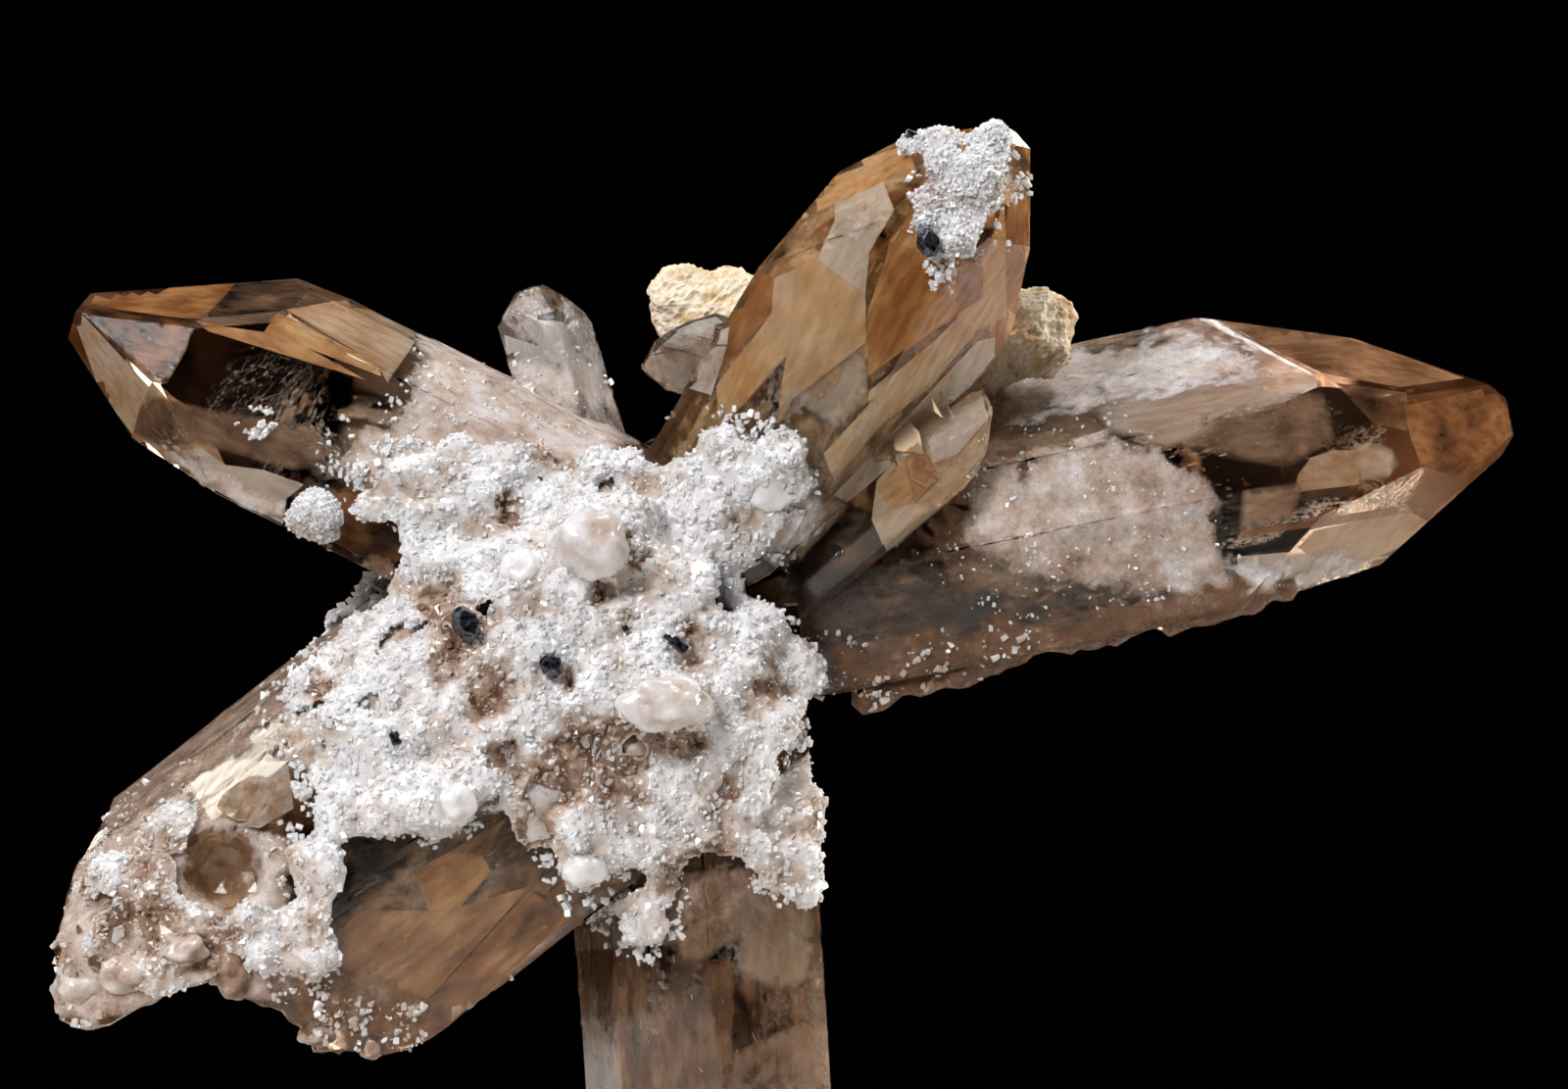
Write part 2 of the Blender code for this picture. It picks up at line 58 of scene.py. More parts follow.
# Soft boxes in metres: place, length of each side, watts and colour. All but the small lamp face the middle.
lightAim = (0, 0, 0.025)
lights = {
    "keyBox": {"place": (-0.281, -0.487, 0.350), "side": 0.18, "watts": 3.1, "colour": "#fffcfb"},
    "highBox": {"place": (0.238, -0.137, 0.614), "side": 0.18, "watts": 2.0, "colour": "#fffcfb"},
    "leftBox": {"place": (-0.398, -0.230, 0.485), "side": 0.14, "watts": 0.9, "colour": "#ffffff"},
    "backBox": {"place": (0.255, 0.546, 0.268), "side": 0.20, "watts": 1.5, "colour": "#fff8ee"},
    "rightRim": {"place": (0.601, 0.219, 0.138), "side": 0.18, "watts": 4.0, "colour": "#fff8ee"},
    "leftRim": {"place": (-0.361, 0.431, 0.350), "side": 0.18, "watts": 0.8, "colour": "#fff8ee"},
    "glintLamp": {
        "place": (-0.006, 0.283, 0.318), "side": 0.03, "watts": 0.05, "colour": "#ffffff",
        "aim": (0.023, 0.004, 0.033),
    },
}
worldLook = {"colour": "#0b0b0c", "strength": 0.1, "exposure": 0.0}


def fromHex(text):
    values = [int(text[i:i + 2], 16) / 255 for i in (1, 3, 5)]
    linear = [v / 12.92 if v <= 0.04045 else ((v + 0.055) / 1.055) ** 2.4 for v in values]
    return (*linear, 1.0)


def setSteps(points, steps):
    # (place, hex colour) steps put on a colour ramp
    while len(points) < len(steps):
        points.new(0.5)
    for point, (place, colour) in zip(points, steps):
        point.position = place
        point.color = fromHex(colour)


def addNode(mat, kind, settings=None, links=None):
    # settings go to a ramp's steps, the node's own properties or, where a socket has that name or number, its
    # default; a link comes from a socket or, given a node, from its first output
    node = mat.node_tree.nodes.new("ShaderNode" + kind)
    for key, value in (settings or {}).items():
        if key == "steps":
            setSteps(node.color_ramp.elements, value)
        elif isinstance(key, str) and hasattr(node, key):
            setattr(node, key, value)
        else:
            node.inputs[key].default_value = value
    for key, source in (links or {}).items():
        socket = source.outputs[0] if isinstance(source, bpy.types.Node) else source
        mat.node_tree.links.new(socket, node.inputs[key])
    return node


def newMaterial(build):
    # a material named for the function that builds it, which gives its surface and, if it has one, its volume
    mat = bpy.data.materials.new(build.__name__)
    mat.use_nodes = True
    mat.node_tree.nodes.clear()
    addNode(mat, "OutputMaterial", links=dict(zip(("Surface", "Volume"), build(mat))))
    return mat


def honeyColour(mat, level, honey, plainShades, goldenShades):
    # five shades from dark to light by level, from the plain ones to the golden ones as honey grows
    ramps = []
    for shades in (plainShades, goldenShades):
        steps = [(0.25 * number, shade) for number, shade in enumerate(shades)]
        ramps.append(addNode(mat, "ValToRGB", {"steps": steps}, {0: level}))
    return addNode(mat, "Mix", {"data_type": "RGBA"}, {0: honey, 6: ramps[0], 7: ramps[1]}).outputs[2]


def objectMillimetres(mat):
    place = addNode(mat, "TexCoord")
    scale = (toMillimetres,) * 3
    return addNode(mat, "Mapping", {"Scale": scale}, {"Vector": place.outputs["Object"]})


def placeCamera():
    data = bpy.data.cameras.new("photoCamera")
    data.lens = camera["lens"]
    data.sensor_width = camera["sensor"]
    data.clip_start = camera["clip"]
    obj = bpy.data.objects.new("photoCamera", data)
    obj.location = camera["place"]
    obj.rotation_euler = (math.radians(90), 0, 0)
    bpy.context.scene.collection.objects.link(obj)
    bpy.context.scene.camera = obj


def placeLights():
    for name, values in lights.items():
        data = bpy.data.lights.new(name, "AREA")
        data.shape = "SQUARE"
        data.size = values["side"]
        data.energy = values["watts"]
        data.color = fromHex(values["colour"])[:3]
        obj = bpy.data.objects.new(name, data)
        obj.location = values["place"]
        aim = Vector(values.get("aim", lightAim)) - obj.location
        obj.rotation_euler = aim.to_track_quat("-Z", "Y").to_euler()
        bpy.context.scene.collection.objects.link(obj)
    world = bpy.data.worlds.new("darkStudio")
    world.use_nodes = True
    back = world.node_tree.nodes["Background"]
    back.inputs["Color"].default_value = fromHex(worldLook["colour"])
    back.inputs["Strength"].default_value = worldLook["strength"]
    scene = bpy.context.scene
    scene.world = world
    scene.view_settings.view_transform = "Standard"
    scene.view_settings.exposure = worldLook["exposure"]


placeCamera()
placeLights()
print("camera and lights placed")

# Places that only the front shows are given as (across, down) in pixels of the 1600 x 1111 photograph.
photoScale = {"millimetres": 0.0404, "across": 727, "down": 1175}


def clamped(value):
    return max(0.0, min(1.0, value))


def fromPhoto(across, down):
    # the (x, z) in millimetres of a place in the photograph, in the plane through the foot
    size = photoScale["millimetres"]
    return (across - photoScale["across"]) * size, (photoScale["down"] - down) * size


def makeZone(outline):
    # a closed outline in the photograph, ready for zoneDepth
    corners = [Vector(fromPhoto(*point)) for point in outline]
    trios = tessellate_polygon([[Vector((corner.x, corner.y, 0)) for corner in corners]])
    xs, zs = zip(*corners)
    return {
        "corners": corners, "triangles": [[corners[i] for i in trio] for trio in trios],
        "box": (min(xs), max(xs), min(zs), max(zs)),
    }


def zoneDepth(x, z, zone):
    # how far inside a zone a place lies, in millimetres, or 0 outside it
    left, right, low, high = zone["box"]
    point = Vector((x, z))
    if not (left < x < right and low < z < high):
        return 0.0
    if not any(intersect_point_tri_2d(point, *corners) for corners in zone["triangles"]):
        return 0.0
    nearest = 1e9
    for first, second in zip(zone["corners"], zone["corners"][1:] + zone["corners"][:1]):
        side = second - first
        share = clamped((point - first).dot(side) / side.length_squared)
        nearest = min(nearest, (point - first - side * share).length)
    return nearest


def placesIn(zone, density, rng):
    # random (x, z) places in a zone, with density places a square millimetre
    left, right, low, high = zone["box"]
    for _ in range(int((right - left) * (high - low) * density)):
        x, z = rng.uniform(left, right), rng.uniform(low, high)
        wobble = 0.5 * noise.noise(Vector((x, 0, z)) * 1.1)
        if zoneDepth(x + wobble, z - wobble, zone):
            yield x, z


def spotStrength(x, z, spots):
    # how deep a place lies in a list of soft ragged spots, (across, down, radius) in pixels, from 0 to 1
    strength = 0.0
    x += 0.8 * noise.noise(Vector((x, 3, z)) * 0.9) + 0.3 * noise.noise(Vector((x, 8, z)) * 2.7)
    z += 0.8 * noise.noise(Vector((x, 5, z)) * 0.9) + 0.3 * noise.noise(Vector((x, 1, z)) * 2.7)
    for across, down, radius in spots:
        spotX, spotZ = fromPhoto(across, down)
        reach = radius * photoScale["millimetres"]
        strength = max(strength, 1.0 - math.hypot(x - spotX, z - spotZ) / reach)
    return clamped(strength * 1.8)


# Each crystal from its buried root to the point where its end faces would meet, with the turn about its own
# length and its mean radius. warm is how deep its colour is at the tip and smoke how grey-brown it is.
# cloudEnds is how far along it, in millimetres from the root, the milky growth inside stops, and deep how far
# in it starts. honey is how golden that growth is, and pale how white.
crystals = {
    "left": {
        "root": (-3.6, 0.5, 23.9), "tip": (-29.0, 2.7, 36.4), "roll": 36, "radius": 4.4,
        "warm": 0.75, "smoke": 0.0, "cloudEnds": 14.0, "deep": 0.8, "honey": 0.3, "pale": 0.50,
    },
    "upper": {
        "root": (0.0, 1.0, 23.2), "tip": (13.3, -5.0, 45.1), "roll": 31, "radius": 4.2,
        "warm": 0.7, "smoke": 0.0, "cloudEnds": 22.0, "deep": 1.35, "honey": 1.0, "pale": 0.66,
    },
    "right": {
        "root": (-14.4, 6.4, 20.5), "tip": (35.4, 3.1, 30.8), "roll": -36, "radius": 5.5,
        "warm": 0.85, "smoke": 0.0, "cloudEnds": 34.5, "deep": 1.0, "honey": 0.2, "pale": 0.55,
    },
    "lowerLeft": {
        "root": (-1.2, 1.0, 22.7), "tip": (-32.2, -3.0, -1.6), "roll": 35, "radius": 6.8,
        "warm": 0.6, "smoke": 0.1, "cloudEnds": 60.0, "deep": 1.2, "honey": 0.75, "pale": 0.40,
    },
    "foot": {
        "root": (-1.5, -1.0, 22.3), "tip": (0.13, 0.1, -2.0), "roll": 25, "radius": 4.1,
        "warm": 0.3, "smoke": 0.30, "cloudEnds": 60.0, "deep": 1.4, "honey": 0.3, "pale": 0.46,
    },
    "smallClear": {
        "root": (-4.9, 4.0, 27.0), "tip": (-8.0, 3.5, 37.2), "roll": 18, "radius": 1.6,
        "warm": 0.0, "smoke": 0.0, "cloudEnds": 6.5, "deep": 0.4, "honey": 0.05, "pale": 0.85,
    },
    "smallBack": {
        "root": (5.3, 3.0, 31.4), "tip": (-3.5, 1.9, 33.7), "roll": 22, "radius": 1.45,
        "warm": 0.1, "smoke": 0.1, "cloudEnds": 8.0, "deep": 0.4, "honey": 0.1, "pale": 0.95,
    },
    "smallBeside": {
        "root": (2.3, 0.5, 22.7), "tip": (11.9, -3.0, 30.7), "roll": 40, "radius": 1.65,
        "warm": 0.6, "smoke": 0.0, "cloudEnds": 8.5, "deep": 0.7, "honey": 0.7, "pale": 0.5,
    },
}
towardsViewer = Vector((0, -1, 0))
# rays start this far in front of the crystals or behind them
rayStart = 60.0
# faces that look further back than this, as the y of their normals, belong to the back
backFrom = 0.15
# a crystal's end in its own radii: how far down from its point it reaches and over how much of that it tapers
crystalEnd = {"reach": 2.2, "taper": 1.6}


def crystalFrame(values):
    # a crystal's own axes, its length along +Z and its root at the origin, in the object's frame
    root, tip = Vector(values["root"]), Vector(values["tip"])
    along = (tip - root).normalized()
    front = (towardsViewer - towardsViewer.dot(along) * along).normalized()
    roll = math.radians(values["roll"])
    firstSide = math.cos(roll) * front + math.sin(roll) * along.cross(front)
    turn = Matrix((firstSide, along.cross(firstSide), along)).transposed().to_4x4()
    return Matrix.Translation(root) @ turn


frames = {name: crystalFrame(values) for name, values in crystals.items()}
ownAxes = {name: turn.inverted() for name, turn in frames.items()}
lengths = {name: (Vector(values["tip"]) - Vector(values["root"])).length for name, values in crystals.items()}


def crystalAt(place, normal):
    # the crystal that a place on the surface belongs to, by its distance from each axis and its face's turn
    best, bestScore = "lowerLeft", 1e9
    for name, values in crystals.items():
        own = ownAxes[name] @ place
        length = lengths[name]
        if not -2 < own.z < length + 1:
            continue
        fromAxis = math.hypot(own.x, own.y) / values["radius"]
        slope = abs((ownAxes[name].to_3x3() @ normal).z)
        nearTip = own.z > length - crystalEnd["reach"] * values["radius"]
        taper = min(1.0, (length - own.z) / (crystalEnd["taper"] * values["radius"]))
        expected = taper if nearTip else 1.0
        score = abs(fromAxis - expected) + (0.2 if nearTip else 1.2) * slope
        if score < bestScore:
            best, bestScore = name, score
    return best


def nodeCopy(name):
    # a CAD node's mesh in millimetres, with its loose triangles merged
    bm = bmesh.new()
    bm.from_mesh(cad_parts[name].data)
    bmesh.ops.scale(bm, vec=(toMillimetres,) * 3, verts=bm.verts)
    bmesh.ops.remove_doubles(bm, verts=bm.verts, dist=mergeWithin)
    return bm


def withModifier(bm, kind, **settings):
    mesh = bpy.data.meshes.new("work")
    bm.to_mesh(mesh)
    bm.free()
    obj = bpy.data.objects.new("work", mesh)
    bpy.context.scene.collection.objects.link(obj)
    modifier = obj.modifiers.new("work", kind)
    for key, value in settings.items():
        setattr(modifier, key, value)
    bpy.context.view_layer.update()
    result = bmesh.new()
    result.from_object(obj, bpy.context.evaluated_depsgraph_get())
    bpy.data.objects.remove(obj)
    return result


def joinInto(whole, bm):
    # adds a mesh to a larger one and frees it
    mesh = bpy.data.meshes.new("work")
    bm.to_mesh(mesh)
    bm.free()
    whole.from_mesh(mesh)


def newMesh(*names):
    # an empty mesh whose vertices carry these numbers
    bm = bmesh.new()
    for name in names:
        bm.verts.layers.float.new(name)
    return bm


def shortenEdges(bm, longest):
    # splits edges until none is much longer than this
    bmesh.ops.triangulate(bm, faces=bm.faces)
    for _ in range(12):
        long = [edge for edge in bm.edges if edge.calc_length() > longest]
        if not long:
            break
        bmesh.ops.subdivide_edges(bm, edges=long, cuts=1)
        bmesh.ops.triangulate(bm, faces=[face for face in bm.faces if len(face.verts) > 3])


def moveVerts(bm, moveOf):
    # moves every vertex by what moveOf gives for it, all at once
    bm.normal_update()
    moves = [moveOf(vert) for vert in bm.verts]
    for vert, move in zip(bm.verts, moves):
        vert.co += move
    bm.normal_update()


def finishPiece(bm, name, mat, replaced=(), smooth=False):
    bmesh.ops.scale(bm, vec=(toMetres,) * 3, verts=bm.verts)
    for face in bm.faces:
        face.smooth = smooth
    mesh = bpy.data.meshes.new(name)
    bm.to_mesh(mesh)
    bm.free()
    mesh.materials.append(mat)
    obj = bpy.data.objects.new(name, mesh)
    bpy.context.scene.collection.objects.link(obj)
    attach(obj, "root")
    if replaced:
        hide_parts(*replaced)
    print(name, sum(len(face.vertices) - 2 for face in mesh.polygons), "triangles")


# The clear crystals: rounded edges, then fine growth relief along each prism. One edge is worn wide and
# glints, from and to in the photograph. Sizes are in millimetres and angles in degrees.
prisms = {
    "flatWithin": 2, "edgeRound": 0.09, "sharpFrom": 13, "shortestEdge": 0.8, "longestEdge": 0.68,
    "ridgeAcross": 0.9, "ridgeAlong": 9.0, "ridgeHeight": 0.022,
    "stepAcross": 2.2, "stepAlong": 6.0, "stepHeight": 0.030, "stepCount": 3,
    "breakRelief": 0.20, "roughFaceArea": 1.4, "rightSide": 4, "breaksBelow": {"right": 24, "left": 21.5},
    "wornEdge": [(1226, 322), (1345, 384)], "wornReach": 0.7, "wornRound": 0.28, "wornFrom": 5,
}


def sherryTopaz(mat):
    # Sherry topaz, a natural crystal with growth-lined faces: glassy, see-through, orange-brown at depth.
    own = addNode(mat, "Attribute", {"attribute_name": "ownAxes"}).outputs["Vector"]
    warm, smoke, frost = [
        addNode(mat, "Attribute", {"attribute_name": name}).outputs["Fac"]
        for name in ("warm", "smoke", "frost")
    ]
    # growth lines run the prism's length, about 0.2 mm apart across it and fifteen times longer along it
    lined = addNode(mat, "Mapping", {"Scale": (4.5, 4.5, 0.30)}, {"Vector": own})
    lines = addNode(mat, "TexNoise", {"Scale": 1.0, "Detail": 5.0, "Roughness": 0.7}, {"Vector": lined})
    place = objectMillimetres(mat)
    patches = addNode(mat, "TexNoise", {"Scale": 0.5, "Detail": 4.0}, {"Vector": place})
    clean = addNode(mat, "MapRange", {1: 0.40, 2: 0.75, 3: 0.02, 4: 0.10}, {0: patches})
    rough = addNode(mat, "Math", {"operation": "MULTIPLY_ADD", 1: 0.28}, {0: frost, 2: clean})
    colour = addNode(
        mat, "ValToRGB", {"steps": [(0.0, "#fefcf9"), (0.5, "#f9e9d9"), (1.0, "#f3d2b2")]}, {0: warm},
    )
    shade = addNode(
        mat, "Mix", {"data_type": "RGBA", "blend_type": "MULTIPLY", 7: fromHex("#b9a393")},
        {0: smoke, 6: colour},
    )
    pits = addNode(mat, "TexNoise", {"Scale": 7.0, "Detail": 3.0}, {"Vector": place})
    grit = addNode(mat, "Math", {"operation": "MULTIPLY"}, {0: frost, 1: pits})
    height = addNode(mat, "Math", {"operation": "ADD"}, {0: lines, 1: grit})
    bump = addNode(mat, "Bump", {"Strength": 0.14, "Distance": 0.0001}, {"Height": height})
    shader = addNode(
        mat, "BsdfPrincipled", {"IOR": 1.62, "Transmission Weight": 1.0},
        {"Base Color": shade.outputs[2], "Roughness": rough, "Normal": bump},
    )
    inside = addNode(mat, "VolumeAbsorption", {"Density": 55.0})
    inside.inputs["Color"].default_value = fromHex("#f0c290")
    return shader, inside


def softCut(mat, cover, pattern, sharpness):
    # thick where the cover passes a noise pattern and thinning to clear elsewhere
    level = addNode(mat, "MapRange", {1: 0.28, 2: 0.72}, {0: pattern})
    over = addNode(mat, "Math", {"operation": "SUBTRACT"}, {0: cover, 1: level})
    return addNode(
        mat, "Math", {"operation": "MULTIPLY_ADD", "use_clamp": True, 1: sharpness, 2: 0.5},
        {0: over},
    )


def frostedSkin(mat):
    # Frosting on topaz, a film of tiny crystals and etch pits, grown on: whitish and soft where it is thick.
    place = objectMillimetres(mat)
    cover, white = [
        addNode(mat, "Attribute", {"attribute_name": name}).outputs["Fac"]
        for name in ("cover", "white")
    ]
    # patches of about 1 mm that break up into ever finer specks
    fine = addNode(mat, "TexNoise", {"Scale": 0.9, "Detail": 10.0, "Roughness": 0.78}, {"Vector": place})
    broad = addNode(mat, "TexNoise", {"Scale": 0.6, "Detail": 8.0, "Roughness": 0.75}, {"Vector": place})
    spread = addNode(mat, "MapRange", {1: 0.3, 2: 0.7, 3: -0.35, 4: 0.35}, {0: broad})
    level = addNode(mat, "Math", {"operation": "ADD"}, {0: spread, 1: white})
    steps = [(0.1, "#7f6049"), (0.35, "#aa8f7c"), (0.6, "#cdbcb0"), (0.9, "#e6e3e6")]
    colour = addNode(mat, "ValToRGB", {"steps": steps}, {0: level})
    shader = addNode(
        mat, "BsdfPrincipled", {"Roughness": 0.5, "IOR": 1.54, "Specular IOR Level": 0.25},
        {"Base Color": colour, "Alpha": softCut(mat, cover, fine, 1.5)},
    )
    return [shader]


def growthRelief(own, slope):
    # how far a prism face stands out at a place in its own axes: long ridges and flat shallow steps
    ridgeStretch = prisms["ridgeAcross"] / prisms["ridgeAlong"]
    ridge = noise.noise(Vector((own.x, own.y, own.z * ridgeStretch)) / prisms["ridgeAcross"])
    stepStretch = prisms["stepAcross"] / prisms["stepAlong"]
    raw = noise.noise(Vector((own.x + 20, own.y + 9, own.z * stepStretch)) / prisms["stepAcross"])
    step = round(raw * prisms["stepCount"]) / prisms["stepCount"]
    fade = max(0.0, 1.0 - 2.0 * slope)
    return fade * (prisms["ridgeHeight"] * ridge + prisms["stepHeight"] * step)


# Frosting on the crystals' fronts: how closely it covers, how white it is, how many millimetres its edge
# takes to fade in, and its outline in the photograph.
frostZones = {
    "leftHaze": (0.8, 0.62, 1.6, [
        (398, 405), (408, 322), (450, 318), (530, 350), (610, 395), (660, 425), (660, 590), (500, 610),
        (425, 575), (380, 520), (345, 505), (322, 480), (345, 425),
    ]),
    "rightTop": (0.62, 0.8, 1.0, [
        (1005, 395), (1015, 365), (1100, 345), (1226, 322), (1345, 384), (1240, 402), (1130, 430),
        (1010, 455),
    ]),
    "rightBody": (0.66, 0.58, 1.3, [
        (950, 560), (985, 470), (1130, 425), (1205, 452), (1240, 476), (1262, 505), (1256, 530),
        (1270, 565), (1300, 590), (1310, 612), (1200, 628), (1090, 615), (1010, 590),
    ]),
    "rightEnd": (0.75, 0.85, 1.1, [
        (1240, 560), (1330, 562), (1420, 548), (1385, 600), (1310, 620), (1230, 610),
    ]),
    # painted shade: a dark film under the right crystal, where its shadow falls
    "rightUnderShaded": (0.52, 0.06, 1.0, [
        (830, 640), (960, 625), (1100, 610), (1290, 560), (1400, 600), (1310, 670), (1100, 720), (960, 770),
        (840, 790),
    ]),
    "lowerLeftTop": (0.75, 0.58, 1.2, [
        (270, 745), (285, 680), (330, 630), (400, 580), (450, 600), (540, 720), (540, 830), (450, 868),
        (330, 835), (300, 800),
    ]),
    "lowerLeftFace": (0.56, 0.22, 1.0, [
        (60, 850), (90, 780), (280, 620), (400, 530), (430, 610), (340, 700), (240, 790), (140, 860),
    ]),
    "lowerLeftEnd": (0.72, 0.52, 1.0, [
        (55, 1050), (60, 900), (110, 830), (200, 790), (300, 830), (322, 860), (318, 930), (350, 975),
        (345, 1015), (250, 1030),
    ]),
    "lowerLeftBottom": (0.5, 0.2, 1.0, [
        (268, 955), (350, 955), (460, 1000), (470, 1040), (385, 1085), (310, 1070),
    ]),
    "footTop": (0.42, 0.25, 1.6, [
        (590, 850), (700, 860), (840, 820), (842, 985), (770, 960), (700, 1000), (600, 960),
    ]),
    "upperBase": (0.85, 0.8, 1.3, [
        (712, 440), (745, 425), (800, 430), (840, 480), (860, 520), (800, 600), (735, 570), (700, 480),
    ]),
    "upperPatch": (0.5, 0.45, 0.8, [(848, 215), (905, 190), (912, 225), (880, 268), (845, 262)]),
    "upperMiddle": (0.22, 0.35, 1.5, [
        (720, 440), (780, 330), (830, 330), (860, 400), (830, 470), (760, 430),
    ]),
    "tipTail": (0.5, 0.75, 0.9, [
        (925, 150), (1000, 140), (1050, 165), (1045, 195), (1005, 215), (985, 290), (960, 310), (935, 260),
    ]),
    "smallClear": (0.85, 0.75, 0.8, [
        (512, 372), (530, 352), (560, 362), (600, 340), (640, 400), (640, 440), (520, 400),
    ]),
    "smallClearTop": (0.34, 0.75, 0.5, [(508, 300), (580, 290), (615, 330), (640, 420), (520, 400)]),
    "leftStrip": (0.72, 0.62, 0.5, [
        (136, 436), (170, 452), (225, 474), (268, 492), (305, 510), (300, 545), (250, 522), (190, 490),
        (140, 458),
    ]),
    "smallBack": (0.4, 0.4, 0.6, [(664, 345), (745, 320), (745, 400), (680, 402)]),
}
frosting = [(cover, white, fade, makeZone(outline)) for cover, white, fade, outline in frostZones.values()]
noFrost = -0.4
# hollows that stay bare
barePits = [makeZone(outline) for outline in (
    [(190, 893), (192, 850), (226, 834), (268, 850), (280, 893), (250, 932), (214, 920)],
    [(196, 800), (235, 772), (302, 775), (309, 822), (272, 846), (220, 838)],
    [(545, 320), (572, 313), (588, 335), (576, 358), (545, 357)],
)]
# on the back the frosting lies round the junction: its middle as (x, z), its reach and how closely it covers
backFrost = {"middle": (-2.0, 20.0), "reach": 17.0, "cover": 0.9, "white": 0.5}
# the film starts where the cover passes this, and lies this far off the faces, in millimetres
skin = {"from": -0.15, "lift": 0.015, "thickness": 0.03}


def frostAt(place, normal):
    # how closely frosting covers a place on the crystals, and how white it is there
    if normal.y > backFrom:
        fromMiddle = math.dist((place.x, place.z), backFrost["middle"])
        return backFrost["cover"] * (1.0 - fromMiddle / backFrost["reach"]), backFrost["white"]
    cover, white = noFrost, 0.5
    shift = 0.7 * noise.noise(place * 0.9) + 0.3 * noise.noise(place * 2.3)
    for zoneCover, zoneWhite, fade, zone in frosting:
        depth = zoneDepth(place.x + shift, place.z - shift, zone)
        here = (zoneCover - noFrost) * min(1.0, depth / fade) + noFrost
        if here > cover:
            cover, white = here, zoneWhite
    bare = max(zoneDepth(place.x, place.z, zone) for zone in barePits)
    return cover - min(0.7, bare * 2.0), white


def sharpEdges(bm, sharpFrom):
    return [
        edge for edge in bm.edges
        if edge.is_manifold and edge.calc_length() > prisms["shortestEdge"]
        and edge.calc_face_angle() > math.radians(sharpFrom)
        and min(face.calc_area() for face in edge.link_faces) > prisms["roughFaceArea"]
    ]


def onWornEdge(edge):
    start, end = (Vector(fromPhoto(*point)) for point in prisms["wornEdge"])
    along = (end - start).normalized()
    for vert in edge.verts:
        place = Vector((vert.co.x, vert.co.z)) - start
        share = place.dot(along)
        away = (place - share * along).length
        if not -1 < share < (end - start).length + 1 or away > prisms["wornReach"]:
            return False
    return True


def roundEdges(bm, edges, width, segments):
    bmesh.ops.bevel(
        bm, geom=edges, offset=width, affect="EDGES", segments=segments, profile=0.5, material=-1,
        clamp_overlap=True,
    )


def makePrisms():
    bm = nodeCopy("topaz_crystals")
    flatWithin = math.radians(prisms["flatWithin"])
    bmesh.ops.dissolve_limit(bm, angle_limit=flatWithin, verts=bm.verts, edges=bm.edges)
    worn = [edge for edge in sharpEdges(bm, prisms["wornFrom"]) if onWornEdge(edge)]
    roundEdges(bm, worn, prisms["wornRound"], 3)
    roughLayer = bm.faces.layers.int.new("rough")
    for face in bm.faces:
        face[roughLayer] = int(face.calc_area() < prisms["roughFaceArea"])
    roundEdges(bm, sharpEdges(bm, prisms["sharpFrom"]), prisms["edgeRound"], 2)
    shortenEdges(bm, prisms["longestEdge"])
    bm.normal_update()
    ownLayer = bm.verts.layers.float_vector.new("ownAxes")
    layers = [bm.verts.layers.float.new(name) for name in ("warm", "smoke", "frost", "cover", "white")]
    moves = []
    for vert in bm.verts:
        name = crystalAt(vert.co, vert.normal)
        values = crystals[name]
        own = ownAxes[name] @ vert.co
        slope = abs((ownAxes[name].to_3x3() @ vert.normal).z)
        side = "right" if vert.co.x > prisms["rightSide"] else "left"
        atBreak = vert.co.z < prisms["breaksBelow"][side]
        rough = atBreak and all(face[roughLayer] for face in vert.link_faces)
        cover, white = frostAt(vert.co, vert.normal)
        vert[ownLayer] = own
        warm = values["warm"] * min(1.0, max(0.15, own.z / lengths[name]) ** 1.5)
        frost = max(0.0, cover, 0.6 * rough)
        for layer, value in zip(layers, (warm, values["smoke"], frost, cover, white)):
            vert[layer] = value
        if rough:
            lumps = noise.noise(vert.co * 1.1) + 0.6 * noise.noise(vert.co * 2.6 + Vector((3, 8, 1)))
            moves.append(vert.normal * prisms["breakRelief"] * lumps)
        else:
            moves.append(vert.normal * growthRelief(own, slope))
    for vert, move in zip(bm.verts, moves):
        vert.co += move
    tree = BVHTree.FromBMesh(bm)
    makeFilms(bm)
    finishPiece(bm, "topazPrisms", newMaterial(sherryTopaz), ["topaz_crystals"])
    return tree


def makeFilms(prismMesh):
    # a film just over the prisms' faces wherever there is frosting, in a front and a back piece
    mat = newMaterial(frostedSkin)
    for name, front in (("frostedFilm", True), ("frostedFilmBack", False)):
        bm = prismMesh.copy()
        coverLayer = bm.verts.layers.float["cover"]
        bare = [
            face for face in bm.faces
            if max(vert[coverLayer] for vert in face.verts) < skin["from"]
            or (face.normal.y < backFrom) != front
        ]
        bmesh.ops.delete(bm, geom=bare, context="FACES")
        moveVerts(bm, lambda vert: vert.normal * (skin["lift"] + skin["thickness"]))
        bm = withModifier(bm, "SOLIDIFY", thickness=skin["thickness"], offset=-1)
        finishPiece(bm, name, mat, smooth=True)


crystalTree = makePrisms()


def firstHit(tree, x, z, fromFront=True):
    side = -1 if fromFront else 1
    place, normal, _, _ = tree.ray_cast(Vector((x, side * rayStart, z)), Vector((0, -side, 0)))
    return place, normal


